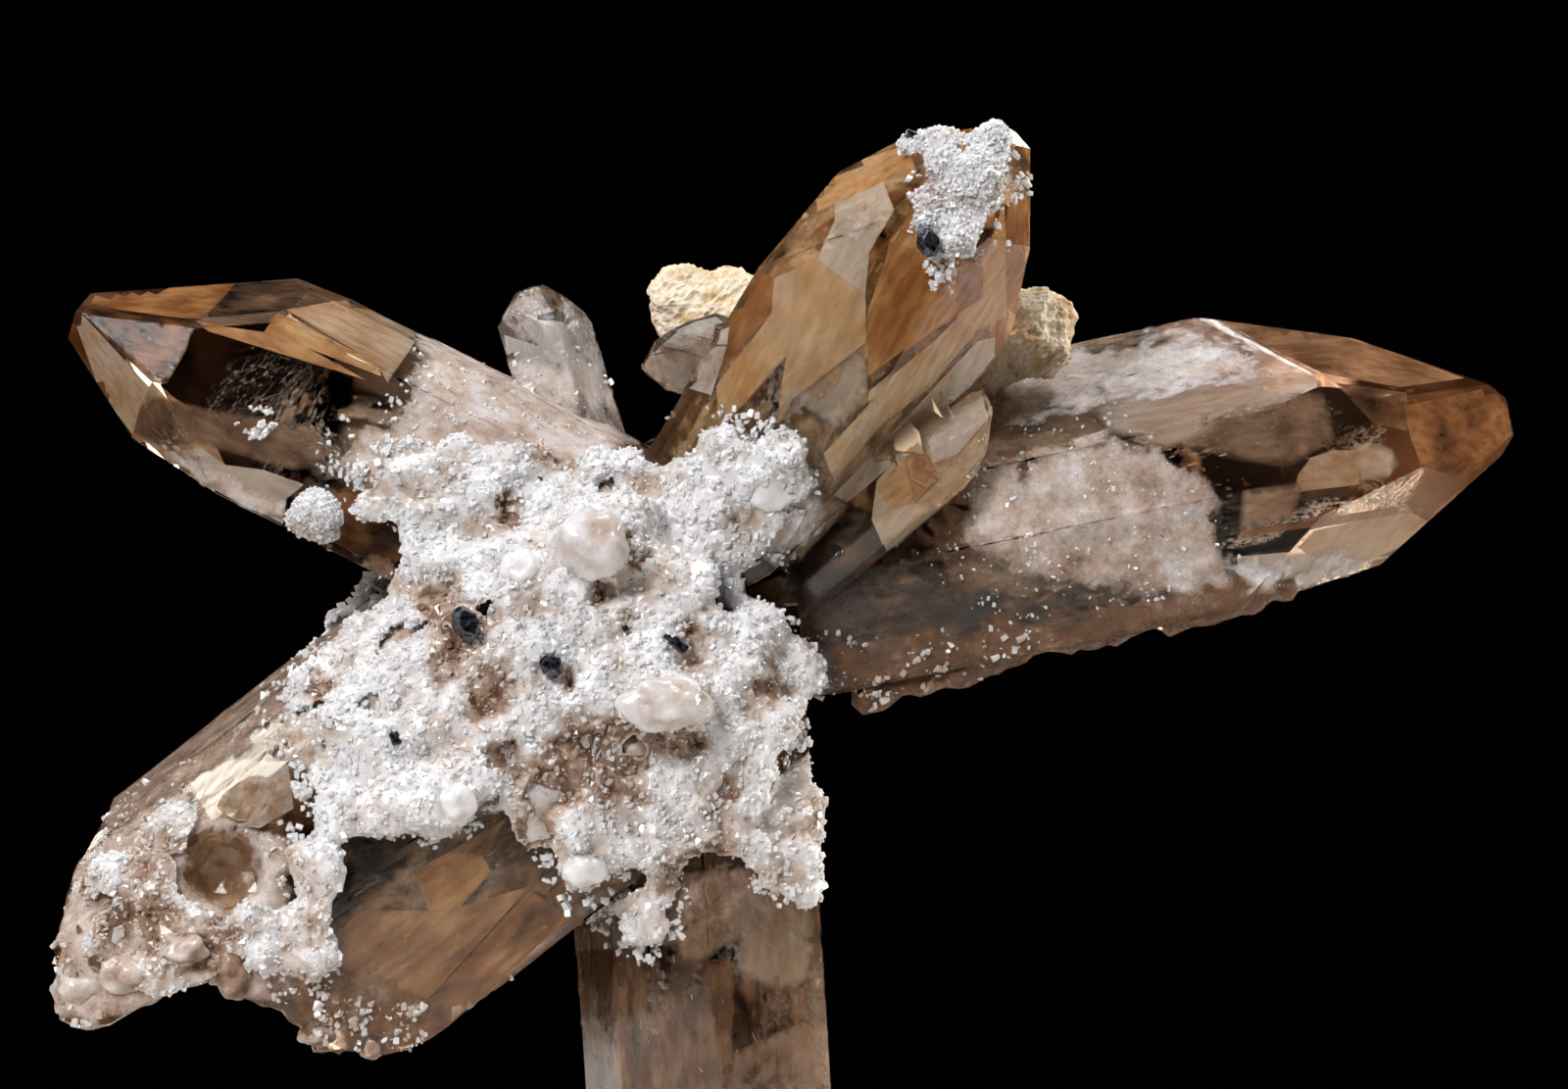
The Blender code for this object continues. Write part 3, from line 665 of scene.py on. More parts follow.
# The milky growth inside: shells of the crystals' own shape further and further in, as (how far in, how
# closely each covers). They stop short of the clear ends and lie back behind the clear windows.
cloud = {
    "voxel": 0.5,
    "shells": [(0.35, 0.30), (1.0, 0.62), (1.9, 1.3)],
    "insetAtEnd": 2.6,
    "endLength": 7.0,
    "roughness": 0.12,
    "windows": [
        [(305, 850), (345, 842), (420, 842), (425, 868), (385, 900), (345, 925), (312, 935)],
        [(1180, 430), (1260, 398), (1330, 392), (1340, 565), (1270, 565), (1255, 520), (1238, 480)],
    ],
    "windowDepth": 0.8,
    "clear": ["smallBeside"],
    # darker spots: painted shade below the junction, and darker brown patches elsewhere
    "darkAndShadeSpots": [
        (850, 640, 90), (900, 700, 80), (815, 560, 50), (480, 655, 55), (640, 770, 70), (560, 850, 50),
        (700, 990, 70), (380, 800, 40), (780, 1050, 60), (960, 650, 90), (385, 540, 50), (330, 870, 60),
    ],
    # paler spots: whiter haze, and painted glow at the right crystal's lower end
    "paleAndGlowSpots": [
        (430, 430, 110), (560, 420, 70), (1080, 420, 110), (1180, 540, 110), (1050, 540, 70),
        (160, 900, 110), (1220, 370, 60), (370, 700, 120), (590, 380, 50), (1340, 575, 50), (450, 900, 60),
    ],
}


def milkyTopaz(mat):
    # Topaz clouded by fine inclusions, grown in: soft and whitish, pinkish brown where it thins, with painted
    # shade and glow in places.
    place = objectMillimetres(mat)
    own = addNode(mat, "Attribute", {"attribute_name": "ownAxes"}).outputs["Vector"]
    tone, honey, cover = [
        addNode(mat, "Attribute", {"attribute_name": name}).outputs["Fac"]
        for name in ("tone", "honey", "cover")
    ]
    broad = addNode(mat, "TexNoise", {"Scale": 0.45, "Detail": 5.0, "Roughness": 0.55}, {"Vector": place})
    long = addNode(mat, "Mapping", {"Scale": (1.2, 1.2, 0.9)}, {"Vector": own})
    streaks = addNode(mat, "TexNoise", {"Scale": 1.0, "Detail": 4.0, "Roughness": 0.55}, {"Vector": long})
    mixed = addNode(mat, "Math", {"operation": "ADD"}, {0: broad, 1: streaks})
    spread = addNode(mat, "MapRange", {1: 0.65, 2: 1.35, 3: -0.09, 4: 0.09, "clamp": False}, {0: mixed})
    level = addNode(mat, "Math", {"operation": "ADD"}, {0: spread, 1: tone})
    colour = honeyColour(
        mat, level, honey, ("#4f392b", "#9c7e68", "#cdb39e", "#e8dbcf", "#fbf7f3"),
        ("#6e4322", "#c08a56", "#edc28c", "#fae0b6", "#fff8e6"),
    )
    shader = addNode(
        mat, "BsdfPrincipled", {"Roughness": 0.5, "IOR": 1.5},
        {"Base Color": colour, "Alpha": softCut(mat, cover, streaks, 1.6)},
    )
    return [shader]


windowZones = [makeZone(outline) for outline in cloud["windows"]]


def cloudVert(vert, inset):
    # where a vertex of the milky growth goes for one shell, with its own axes, tone, honey and window share
    name = crystalAt(vert.co, vert.normal)
    values = crystals[name]
    own = ownAxes[name] @ vert.co
    x, z = vert.co.x, vert.co.z
    ragged = 1.5 * noise.noise(vert.co * 0.45) + 0.8 * noise.noise(vert.co * 1.5)
    nearEnd = clamped(1 - (values["cloudEnds"] - own.z + ragged) / cloud["endLength"])
    depth = (inset + nearEnd * cloud["insetAtEnd"]) * values["deep"]
    depth += cloud["roughness"] * noise.noise(vert.co * 0.9)
    place = vert.co - vert.normal * min(depth, 0.85 * values["radius"])
    window = 0.0
    if vert.normal.y < 0.1:
        shift = 0.5 * noise.noise(vert.co * 1.3)
        window = max(min(1.0, zoneDepth(x + shift, z - shift, zone) / 0.6) for zone in windowZones)
    if window:
        back, _ = firstHit(crystalTree, x, z, fromFront=False)
        if back:
            place.y += (back.y - place.y) * cloud["windowDepth"] * window
    own = ownAxes[name] @ place
    own.z = min(own.z, values["cloudEnds"] + ragged)
    # tone, with painted glow and painted shade from the spots
    tone = values["pale"] + 0.3 * spotStrength(x, z, cloud["paleAndGlowSpots"])
    tone -= 0.4 * spotStrength(x, z, cloud["darkAndShadeSpots"])
    # darker behind the clear windows: painted shade
    return name, own, max(0.0, tone - 0.3 * window), values["honey"], max(window, nearEnd)


def makeCloud():
    numbers = ("tone", "honey", "cover")
    whole = newMesh(*numbers)
    whole.verts.layers.float_vector.new("ownAxes")
    base = withModifier(nodeCopy("topaz_crystals"), "REMESH", mode="VOXEL", voxel_size=cloud["voxel"])
    base.normal_update()
    for inset, covering in cloud["shells"]:
        bm = base.copy()
        ownLayer = bm.verts.layers.float_vector.new("ownAxes")
        layers = [bm.verts.layers.float.new(number) for number in numbers]
        bare = []
        for old, vert in zip(base.verts, bm.verts):
            name, own, tone, honey, clear = cloudVert(old, inset)
            if name in cloud["clear"]:
                bare.append(vert)
            vert.co = frames[name] @ own
            vert[ownLayer] = own
            thinner = covering if covering > 1 else covering * (1 - clear) - 0.2 * clear
            for layer, value in zip(layers, (tone, honey, thinner)):
                vert[layer] = value
        bmesh.ops.delete(bm, geom=bare, context="VERTS")
        joinInto(whole, bm)
    base.free()
    finishPiece(whole, "milkyGrowth", newMaterial(milkyTopaz), smooth=True)


makeCloud()

# Inner facets, thin layers just under the surface with painted light and shade: crisp patches of light and
# dark that stand for the light, glints, glow and shadows seen in the faces. Neighbours lie at different
# depths, so that none touch, and thin ones have soft edges. Sizes are in millimetres.
innerFacetsPaintedLight = {
    "behind": 0.20, "spacing": 0.035, "depths": 12, "thickness": 0.02, "longestEdge": 0.55, "softUnder": 0.75,
    "longestSide": 2.5, "numbers": ("tone", "honey", "cover"),
}
# how light each veil is at its first corner and at the far one, which is painted light and shade, how golden,
# how closely it covers and its outline in the photograph
veilsWithPaintedLight = {
    "left": [
        ((0.91, 0.78), 0.49, 0.95, [(74, 322), (84, 320), (155, 394), (144, 414), (134, 442), (100, 398)]),
        ((0.0, 0.08), 0.98, 0.9, [
            (89, 316), (128, 322), (200, 331), (192, 358), (173, 392), (157, 389), (112, 347),
        ]),
        ((0.35, 0.26), 0.81, 1.0, [
            (82, 308), (106, 296), (238, 288), (226, 305), (213, 320), (202, 327), (177, 325), (115, 316),
        ]),
        ((0.1, 0.17), 0.17, 1.0, [
            (238, 288), (305, 286), (352, 305), (284, 320), (213, 326), (213, 320), (226, 305),
        ]),
        ((0.37, 0.45), 0.9, 1.0, [
            (202, 330), (284, 321), (293, 325), (387, 374), (391, 385), (376, 389), (315, 356), (271, 340),
            (215, 339),
        ]),
        ((0.52, 0.66), 0.43, 0.95, [
            (291, 318), (351, 305), (370, 306), (422, 331), (420, 354), (397, 392), (389, 376),
        ]),
        ((0.02, 0.08), 0.2, 0.9, [(288, 319), (296, 321), (387, 369), (383, 374), (333, 349)]),
        ((0.27, 0.35), 0.13, 0.62, [
            (144, 414), (155, 401), (226, 418), (330, 436), (338, 475), (304, 481), (215, 456), (159, 452),
            (135, 441),
        ]),
        # painted glow: a bright strip where light gathers along the lower face
        ((1.1, 1.3), 0.69, 1.0, [
            (168, 459), (208, 457), (233, 474), (271, 479), (313, 494), (295, 508), (291, 534), (249, 514),
            (204, 490), (177, 478),
        ]),
        ((0.5, 0.36), 0.4, 1.0, [
            (130, 356), (160, 388), (178, 404), (208, 424), (232, 474), (205, 496), (172, 480), (150, 458),
            (134, 444), (144, 414), (153, 397),
        ]),
        ((0.17, 0.09), 0.93, 0.95, [
            (347, 503), (387, 499), (420, 530), (430, 560), (384, 586), (336, 560),
        ]),
    ],
    "upper": [
        ((1.23, 1.01), 0.92, 0.9, [
            (852, 212), (901, 190), (911, 218), (886, 261), (882, 304), (834, 267), (852, 230),
        ]),
        ((0.63, 0.53), 1.0, 0.9, [
            (852, 175), (925, 152), (935, 181), (901, 190), (852, 212), (818, 228), (832, 194),
        ]),
        ((0.68, 0.56), 1.0, 0.85, [
            (788, 322), (791, 286), (834, 267), (882, 304), (884, 350), (803, 365), (809, 408), (791, 440),
            (736, 440), (732, 395),
        ]),
        ((0.26, 0.38), 0.99, 0.9, [
            (757, 298), (773, 278), (791, 286), (788, 322), (748, 365), (729, 384), (740, 341),
        ]),
        ((0.34, 0.41), 1.0, 0.95, [
            (907, 249), (935, 212), (951, 261), (1000, 273), (999, 304), (945, 341), (886, 384), (884, 322),
            (901, 273),
        ]),
        ((0.58, 0.7), 1.0, 0.9, [(1000, 267), (1020, 208), (1025, 322), (994, 336), (972, 326)]),
        ((0.29, 0.23), 1.0, 0.95, [
            (1023, 212), (1045, 200), (1040, 322), (1020, 366), (1012, 359), (1027, 316),
        ]),
        ((0.67, 0.81), 1.0, 0.8, [(972, 326), (994, 336), (945, 395), (886, 440), (886, 400), (945, 352)]),
        ((1.14, 1.28), 1.0, 0.95, [
            (886, 463), (994, 347), (1018, 341), (1012, 362), (938, 451), (865, 513), (848, 503),
        ]),
        ((0.0, 0.0), 1.0, 0.95, [(960, 375), (987, 350), (1003, 350), (981, 372), (963, 381)]),
        ((0.42, 0.47), 1.0, 0.9, [(904, 470), (936, 432), (941, 435), (910, 475)]),
        # painted glints: a bright golden patch of glints
        ((1.26, 1.1), 0.97, 0.7, [(803, 365), (845, 345), (884, 352), (887, 408), (852, 440), (809, 408)]),
        ((0.73, 0.83), 1.0, 0.8, [(840, 463), (890, 410), (900, 430), (850, 490)]),
        ((0.93, 0.77), 0.72, 0.7, [(790, 545), (850, 505), (868, 516), (815, 575)]),
        # painted glint on the small crystal beside
        ((1.3, 1.3), 0.34, 1.0, [(947, 452), (975, 420), (1003, 407), (1007, 427), (975, 464), (950, 473)]),
        ((0.46, 0.56), 0.7, 1.0, [(920, 470), (945, 463), (957, 488), (932, 513), (908, 519), (895, 500)]),
        ((0.8, 0.7), 0.63, 0.95, [
            (957, 490), (1006, 430), (1016, 425), (1005, 460), (965, 505), (915, 560), (905, 540),
        ]),
        ((0.85, 0.71), 0.75, 0.9, [
            (890, 530), (895, 490), (945, 436), (1000, 398), (1020, 425), (1008, 465), (965, 515),
            (905, 565),
        ]),
    ],
    "right": [
        ((0.26, 0.2), 0.69, 0.95, [
            (1432, 414), (1528, 394), (1543, 417), (1547, 442), (1500, 489), (1450, 474), (1439, 446),
        ]),
        ((0.28, 0.27), 0.36, 0.95, [
            (1248, 326), (1336, 333), (1429, 360), (1498, 386), (1429, 396), (1361, 384), (1345, 379),
        ]),
        ((0.1, 0.2), 0.38, 0.9, [(1362, 392), (1436, 402), (1436, 440), (1400, 432), (1380, 410)]),
        ((0.57, 0.69), 0.31, 0.85, [
            (1318, 503), (1322, 485), (1335, 468), (1358, 460), (1385, 460), (1385, 495),
        ]),
        ((0.82, 1.08), 0.51, 0.72, [
            (1372, 466), (1380, 454), (1400, 450), (1420, 458), (1428, 474), (1415, 490), (1385, 494),
        ]),
        ((0.27, 0.4), 0.72, 0.9, [
            (1264, 542), (1296, 535), (1329, 531), (1361, 517), (1436, 513), (1443, 520), (1361, 524),
            (1332, 538), (1264, 546),
        ]),
        ((0.64, 0.8), 0.64, 0.95, [
            (1339, 539), (1436, 518), (1461, 531), (1429, 557), (1393, 571), (1332, 564), (1321, 556),
        ]),
        # painted glow at the lower end, where light gathers through the crystal
        ((1.3, 1.3), 0.2, 1.0, [
            (1261, 567), (1320, 562), (1393, 571), (1420, 566), (1380, 592), (1321, 600), (1264, 592),
        ]),
        ((0.58, 0.39), 0.57, 0.9, [
            (1418, 560), (1462, 531), (1500, 490), (1512, 478), (1512, 490), (1450, 540),
        ]),
        # painted shadow that the upper crystal casts below the junction
        ((0.0, 0.0), 0.54, 0.7, [
            (820, 560), (880, 520), (960, 560), (990, 640), (930, 700), (850, 740), (815, 640),
        ]),
        ((0.83, 0.59), 0.0, 0.7, [
            (1100, 400), (1200, 385), (1310, 378), (1290, 410), (1240, 440), (1190, 462), (1130, 446),
        ]),
        ((0.32, 0.4), 0.0, 0.55, [
            (1180, 450), (1290, 395), (1350, 402), (1362, 450), (1310, 480), (1250, 470),
        ]),
        ((0.6, 0.48), 0.17, 0.6, [(1265, 500), (1330, 490), (1320, 530), (1262, 540)]),
        # painted shade under the right crystal's ledge
        ((0.04, 0.21), 0.32, 0.7, [
            (1000, 600), (1100, 618), (1210, 632), (1300, 615), (1300, 650), (1100, 690), (960, 720),
            (900, 700),
        ]),
    ],
    "lower": [
        # painted shade: the dark of the clear window
        ((0.02, 0.14), 0.1, 0.85, [(295, 931), (326, 854), (373, 831), (450, 846), (373, 900), (349, 924)]),
        # painted glint: a golden flash off a crack
        ((0.38, 0.54), 1.0, 0.85, [(427, 885), (461, 865), (496, 869), (504, 885), (473, 920), (442, 924)]),
        ((0.33, 0.39), 0.82, 0.8, [
            (373, 924), (427, 885), (442, 924), (473, 920), (504, 885), (496, 869), (520, 831), (543, 900),
            (473, 978), (404, 1055), (365, 1024), (349, 947),
        ]),
        ((0.14, 0.28), 1.0, 0.95, [(404, 1055), (543, 904), (583, 931), (473, 1032), (419, 1068)]),
        ((0.29, 0.21), 0.36, 0.6, [(640, 1120), (690, 970), (750, 975), (745, 1120)]),
        ((0.29, 0.4), 0.23, 0.6, [(745, 1070), (835, 1030), (850, 1110), (740, 1110)]),
        ((0.27, 0.35), 0.39, 0.6, [(590, 970), (640, 960), (655, 1120), (590, 1120)]),
        ((0.71, 0.59), 0.29, 0.6, [
            (750, 945), (800, 935), (830, 960), (825, 1000), (790, 1010), (750, 990),
        ]),
        ((0.61, 0.67), 0.29, 0.6, [
            (600, 900), (690, 960), (760, 880), (830, 900), (830, 960), (740, 960), (690, 1010), (600, 980),
        ]),
        ((0.46, 0.56), 0.52, 0.9, [
            (192, 893), (194, 853), (226, 838), (266, 852), (278, 893), (249, 930), (216, 918),
        ]),
        ((0.79, 0.93), 0.41, 0.9, [(200, 800), (235, 775), (300, 778), (306, 822), (272, 842), (222, 836)]),
        ((0.2, 0.12), 0.5, 0.7, [(100, 850), (290, 680), (330, 650), (250, 770), (200, 820), (120, 860)]),
    ],
    "small": [
        ((1.27, 1.3), 0.12, 0.9, [(666, 360), (693, 336), (712, 328), (748, 318), (743, 353), (700, 352)]),
        ((0.81, 0.97), 0.28, 0.9, [(666, 362), (700, 354), (743, 355), (727, 404), (668, 386)]),
        ((1.26, 1.3), 0.15, 0.85, [
            (520, 395), (514, 340), (522, 318), (545, 326), (550, 352), (580, 352), (600, 330), (618, 345),
            (636, 405), (600, 420),
        ]),
        ((0.11, 0.33), 0.18, 0.8, [(520, 315), (545, 294), (578, 298), (584, 308), (560, 312), (545, 322)]),
        ((0.0, 0.1), 0.0, 0.95, [(545, 322), (570, 316), (584, 335), (574, 356), (546, 354)]),
    ],
}


def veilWithPaintedLight(mat):
    # Topaz seen through its faces, a glassy growth layer in honey or grey-brown, with gently varying painted
    # light and shade.
    own = addNode(mat, "Attribute", {"attribute_name": "ownAxes"}).outputs["Vector"]
    tone, honey, cover = [
        addNode(mat, "Attribute", {"attribute_name": name}).outputs["Fac"]
        for name in ("tone", "honey", "cover")
    ]
    # faint growth lines about 0.3 mm apart across the prism
    lined = addNode(mat, "Mapping", {"Scale": (3.0, 3.0, 0.9)}, {"Vector": own})
    lines = addNode(mat, "TexNoise", {"Scale": 1.0, "Detail": 3.0, "Roughness": 0.5}, {"Vector": lined})
    glow = addNode(mat, "TexNoise", {"Scale": 0.55, "Detail": 1.5, "Roughness": 0.4}, {"Vector": own})
    light = addNode(mat, "Math", {"operation": "MULTIPLY", 1: 2.6}, {0: glow})
    mixed = addNode(mat, "Math", {"operation": "ADD"}, {0: lines, 1: light})
    spread = addNode(mat, "MapRange", {1: 1.0, 2: 2.6, 3: -0.22, 4: 0.22, "clamp": False}, {0: mixed})
    thin = addNode(mat, "MapRange", {1: 0.3, 2: 0.7, 3: 0.75, 4: 1.15}, {0: lines})
    shown = addNode(mat, "Math", {"operation": "MULTIPLY", "use_clamp": True}, {0: cover, 1: thin})
    level = addNode(mat, "Math", {"operation": "ADD"}, {0: spread, 1: tone})
    colour = honeyColour(
        mat, level, honey, ("#2e2520", "#9d8471", "#d9c2af", "#f4e8dc", "#ffffff"),
        ("#4f2f19", "#c4874e", "#f8c98c", "#ffe4bb", "#fff6e8"),
    )
    shader = addNode(
        mat, "BsdfPrincipled", {"Roughness": 0.3, "IOR": 1.5},
        {"Base Color": colour, "Alpha": shown},
    )
    return [shader]


def addVeil(whole, number, tones, honey, covering, outline):
    corners = [Vector((x, 0, z)) for x, z in (fromPhoto(*point) for point in outline)]
    bm = newMesh(*innerFacetsPaintedLight["numbers"])
    bmesh.ops.contextual_create(bm, geom=[bm.verts.new(corner) for corner in corners])
    shortenEdges(bm, innerFacetsPaintedLight["longestEdge"])
    along = max((corner - corners[0] for corner in corners), key=lambda way: way.length)
    ownLayer = bm.verts.layers.float_vector.new("ownAxes")
    layers = [bm.verts.layers.float[name] for name in innerFacetsPaintedLight["numbers"]]
    behind = innerFacetsPaintedLight["behind"] + innerFacetsPaintedLight["spacing"] * (number % innerFacetsPaintedLight["depths"])
    outside = []
    for vert in bm.verts:
        share = (vert.co - corners[0]).dot(along) / along.length_squared
        place, normal = firstHit(crystalTree, vert.co.x, vert.co.z)
        if place is None:
            outside.append(vert)
            continue
        vert.co = place + Vector((0, behind, 0))
        vert[ownLayer] = ownAxes[crystalAt(place, normal)] @ vert.co
        soft = covering < innerFacetsPaintedLight["softUnder"] and vert.is_boundary
        values = tones[0] + (tones[1] - tones[0]) * share, honey, 0.0 if soft else covering
        for layer, value in zip(layers, values):
            vert[layer] = value
    bmesh.ops.delete(bm, geom=outside, context="VERTS")
    # no face reaches from one crystal to another behind it
    limit = innerFacetsPaintedLight["longestSide"]
    steep = [face for face in bm.faces if max(edge.calc_length() for edge in face.edges) > limit]
    bmesh.ops.delete(bm, geom=steep, context="FACES")
    bm.normal_update()
    turned = [face for face in bm.faces if face.normal.y > 0]
    bmesh.ops.reverse_faces(bm, faces=turned)
    joinInto(whole, bm)


def makeInnerFacetsPaintedLight():
    whole = newMesh(*innerFacetsPaintedLight["numbers"])
    whole.verts.layers.float_vector.new("ownAxes")
    for rows in veilsWithPaintedLight.values():
        for number, row in enumerate(rows):
            addVeil(whole, number, *row)
    whole = withModifier(whole, "SOLIDIFY", thickness=innerFacetsPaintedLight["thickness"], offset=-1)
    finishPiece(whole, "innerFacetsPaintedLight", newMaterial(veilWithPaintedLight))


makeInnerFacetsPaintedLight()

# Healed cracks inside: thin curved leaves as (across, down) in the photograph, millimetres behind the
# surface, half length, half width, turn in the picture and lean towards the viewer in degrees, and how dense
# they are.
healedCracks = {
    "grid": (26, 14), "curl": 0.35, "thickness": 0.02, "stretch": 0.4, "apart": 4.1,
    "leaves": [
        ((262, 405), 1.6, 3.4, 2.0, 35, 10, 0.20), ((300, 440), 2.6, 2.4, 1.6, 60, -25, 0.35),
        ((215, 440), 1.2, 2.4, 1.2, 20, 35, 0.15), ((330, 460), 0.9, 1.8, 1.2, -50, 20, 0.45),
        ((1230, 450), 1.2, 2.6, 1.0, 10, 15, 0.34), ((1300, 440), 2.2, 3.0, 1.2, 12, -20, 0.30),
        ((1380, 455), 1.4, 2.2, 1.0, 30, 25, 0.32), ((1330, 525), 0.8, 3.2, 0.6, 12, -10, 0.45),
        ((1395, 500), 1.5, 2.0, 0.8, -25, 30, 0.34), ((1280, 545), 0.7, 1.6, 0.5, 14, 0, 0.5),
        ((870, 410), 1.2, 3.4, 1.1, 62, 30, 0.36), ((930, 380), 1.8, 4.0, 0.9, 58, -30, 0.30),
        ((800, 400), 1.0, 2.4, 0.9, 60, 20, 0.34), ((360, 880), 0.9, 2.2, 1.2, 15, 10, 0.36),
        ((470, 900), 0.8, 2.6, 1.4, 30, 35, 0.5), ((430, 960), 1.2, 3.6, 1.4, 38, -20, 0.36),
        ((760, 960), 0.9, 2.0, 1.6, 75, 25, 0.45), ((680, 1020), 1.2, 3.0, 1.2, 80, -20, 0.36),
        ((780, 1040), 1.5, 3.0, 1.0, 82, 20, 0.32), ((575, 340), 0.6, 1.2, 0.8, 60, 20, 0.34),
    ],
}


def healedCrack(mat):
    # A healed crack in topaz, a film of tiny fluid drops: pale dashes and a fine net that catch the light.
    cover = addNode(mat, "Attribute", {"attribute_name": "cover"}).outputs["Fac"]
    place = addNode(mat, "Attribute", {"attribute_name": "leafPlace"}).outputs["Vector"]
    # a net of cells 0.3 mm wide and flecks of 0.15 mm, far coarser than the real drops, so that they show
    bent = addNode(mat, "TexNoise", {"Scale": 1.2, "Detail": 4.0}, {"Vector": place})
    shifted = addNode(mat, "VectorMath", {"operation": "ADD"}, {0: place, 1: bent.outputs["Color"]})
    cells = addNode(mat, "TexVoronoi", {"feature": "DISTANCE_TO_EDGE", "Scale": 3.0}, {"Vector": shifted})
    net = addNode(mat, "MapRange", {1: 0.0, 2: 0.05, 3: 1.0, 4: 0.0}, {0: cells.outputs["Distance"]})
    flecks = addNode(mat, "TexNoise", {"Scale": 7.0, "Detail": 6.0, "Roughness": 0.7}, {"Vector": place})
    broad = addNode(mat, "MapRange", {1: 0.42, 2: 0.62}, {0: bent})
    drops = softCut(mat, cover, flecks, 3.0)
    lines = addNode(mat, "Math", {"operation": "MULTIPLY"}, {0: net, 1: broad})
    shown = addNode(mat, "Math", {"operation": "MULTIPLY_ADD", 1: 0.7}, {0: lines, 2: drops})
    inside = addNode(mat, "MapRange", {1: 0.0, 2: 0.25}, {0: cover})
    alpha = addNode(mat, "Math", {"operation": "MULTIPLY", "use_clamp": True}, {0: shown, 1: inside})
    shader = addNode(
        mat, "BsdfPrincipled", {"Base Color": fromHex("#fdf8f2"), "Roughness": 0.3, "IOR": 1.4},
        {"Alpha": alpha},
    )
    return [shader]


def crackLeaf(number, halfLength, halfWidth, covering):
    # one leaf in its own plane: a grid drawn out to an ellipse, curled by noise
    across, down = healedCracks["grid"]
    bm = bmesh.new()
    bmesh.ops.create_grid(bm, x_segments=across, y_segments=down, size=1.0)
    coverLayer = bm.verts.layers.float.new("cover")
    placeLayer = bm.verts.layers.float_vector.new("leafPlace")
    for vert in bm.verts:
        u, v = vert.co.x, vert.co.y
        x, y = u * math.sqrt(1 - v * v / 2), v * math.sqrt(1 - u * u / 2)
        curl = noise.noise(Vector((x * 1.3, y * 1.3, number * healedCracks["apart"])))
        curl += 0.4 * noise.noise(Vector((x * 4, y * 4, number)))
        vert[coverLayer] = covering * min(1.0, 2.2 * (1.0 - math.hypot(x, y)))
        vert.co = (x * halfLength, y * halfWidth, curl * healedCracks["curl"])
        stretched = x * halfLength * healedCracks["stretch"]
        vert[placeLayer] = (stretched, y * halfWidth, number * healedCracks["apart"])
    return bm


def makeCracks():
    whole = newMesh("cover")
    whole.verts.layers.float_vector.new("leafPlace")
    for number, row in enumerate(healedCracks["leaves"]):
        spot, behind, halfLength, halfWidth, turn, lean, covering = row
        place, _ = firstHit(crystalTree, *fromPhoto(*spot))
        if place is None:
            continue
        bm = crackLeaf(number, halfLength, halfWidth, covering)
        turned = Matrix.Rotation(math.radians(-turn), 4, "Y")
        turned = turned @ Matrix.Rotation(math.radians(90 + lean), 4, "X")
        bm.transform(Matrix.Translation(place + Vector((0, behind, 0))) @ turned)
        joinInto(whole, bm)
    whole = withModifier(whole, "SOLIDIFY", thickness=healedCracks["thickness"], offset=0)
    finishPiece(whole, "healedCracks", newMaterial(healedCrack), smooth=True)


makeCracks()


# Sugary crust: each CAD patch remeshed with rounded clumps and thousands of small crystals grown on it. Sizes
# are in millimetres.
crustPieces = {
    "druseCrust": {
        "node": "druse_crust", "voxel": 0.22, "relief": 0.6, "grains": 15500, "size": (0.07, 0.23),
    },
    "backCrust": {"node": "back_crust", "voxel": 0.32, "relief": 0.5, "grains": 6000, "size": (0.12, 0.32)},
    "farCrust": {"node": "far_crust", "voxel": 0.32, "relief": 0.5, "grains": 2600, "size": (0.12, 0.32)},
    "tipCrust": {"node": "tip_crust", "voxel": 0.18, "relief": 0.3, "grains": 3200, "size": (0.06, 0.19)},
    "crustBall": {"node": "crust_ball", "voxel": 0.14, "relief": 0.15, "grains": 800, "size": (0.08, 0.18)},
}
crustSeeds = (3, 5, 7, 9, 11)
# where the crust meets the crystals, millimetres from them: no relief, over how much it fades in, no grains
crustEdge = {"still": 0.25, "fade": 0.6, "bare": 0.28}
grainShapes = {"kinds": 6, "tones": 9, "seed": 2}
# where the crust thins to brown, as soft ragged spots in the photograph
brownSpots = [
    (478, 655, 60), (455, 612, 34), (505, 700, 36), (614, 597, 20), (648, 566, 16), (636, 636, 16),
    (585, 560, 14), (600, 765, 44), (650, 772, 38), (700, 758, 26), (560, 800, 36), (545, 850, 30),
    (700, 880, 46), (745, 800, 22), (640, 800, 32), (560, 455, 26), (640, 540, 16), (790, 700, 22),
    (700, 640, 14), (200, 790, 40), (240, 740, 50), (150, 930, 70), (240, 960, 40), (110, 1000, 60),
    (170, 870, 50), (95, 920, 50), (330, 700, 20), (520, 520, 20), (585, 690, 18), (520, 770, 24),
]


def sugaryCrust(mat):
    # A crust of tiny colourless crystals, grown from vapour: white in the mass, glassy and sparkling near to.
    place = objectMillimetres(mat)
    # the tone is darker in the creases between clumps: painted shade
    tone = addNode(mat, "Attribute", {"attribute_name": "tone"}).outputs["Fac"]
    # stains of about 0.8 mm
    broad = addNode(mat, "TexNoise", {"Scale": 1.3, "Detail": 6.0, "Roughness": 0.7}, {"Vector": place})
    spread = addNode(mat, "MapRange", {1: 0.3, 2: 0.7, 3: -0.14, 4: 0.14}, {0: broad})
    level = addNode(mat, "Math", {"operation": "ADD"}, {0: spread, 1: tone})
    steps = [(0.02, "#6c4f3c"), (0.20, "#a68b78"), (0.40, "#cdbfb4"), (0.62, "#e8e7e9"), (0.90, "#fcfdff")]
    colour = addNode(mat, "ValToRGB", {"steps": steps}, {0: level})
    rough = addNode(mat, "MapRange", {1: 0.3, 2: 0.7, 3: 0.08, 4: 0.34}, {0: broad})
    shader = addNode(
        mat, "BsdfPrincipled", {"IOR": 1.54, "Subsurface Weight": 0.35, "Subsurface Scale": 0.0005},
        {"Base Color": colour, "Roughness": rough},
    )
    shader.inputs["Subsurface Radius"].default_value = (1.0, 0.88, 0.8)
    return [shader]


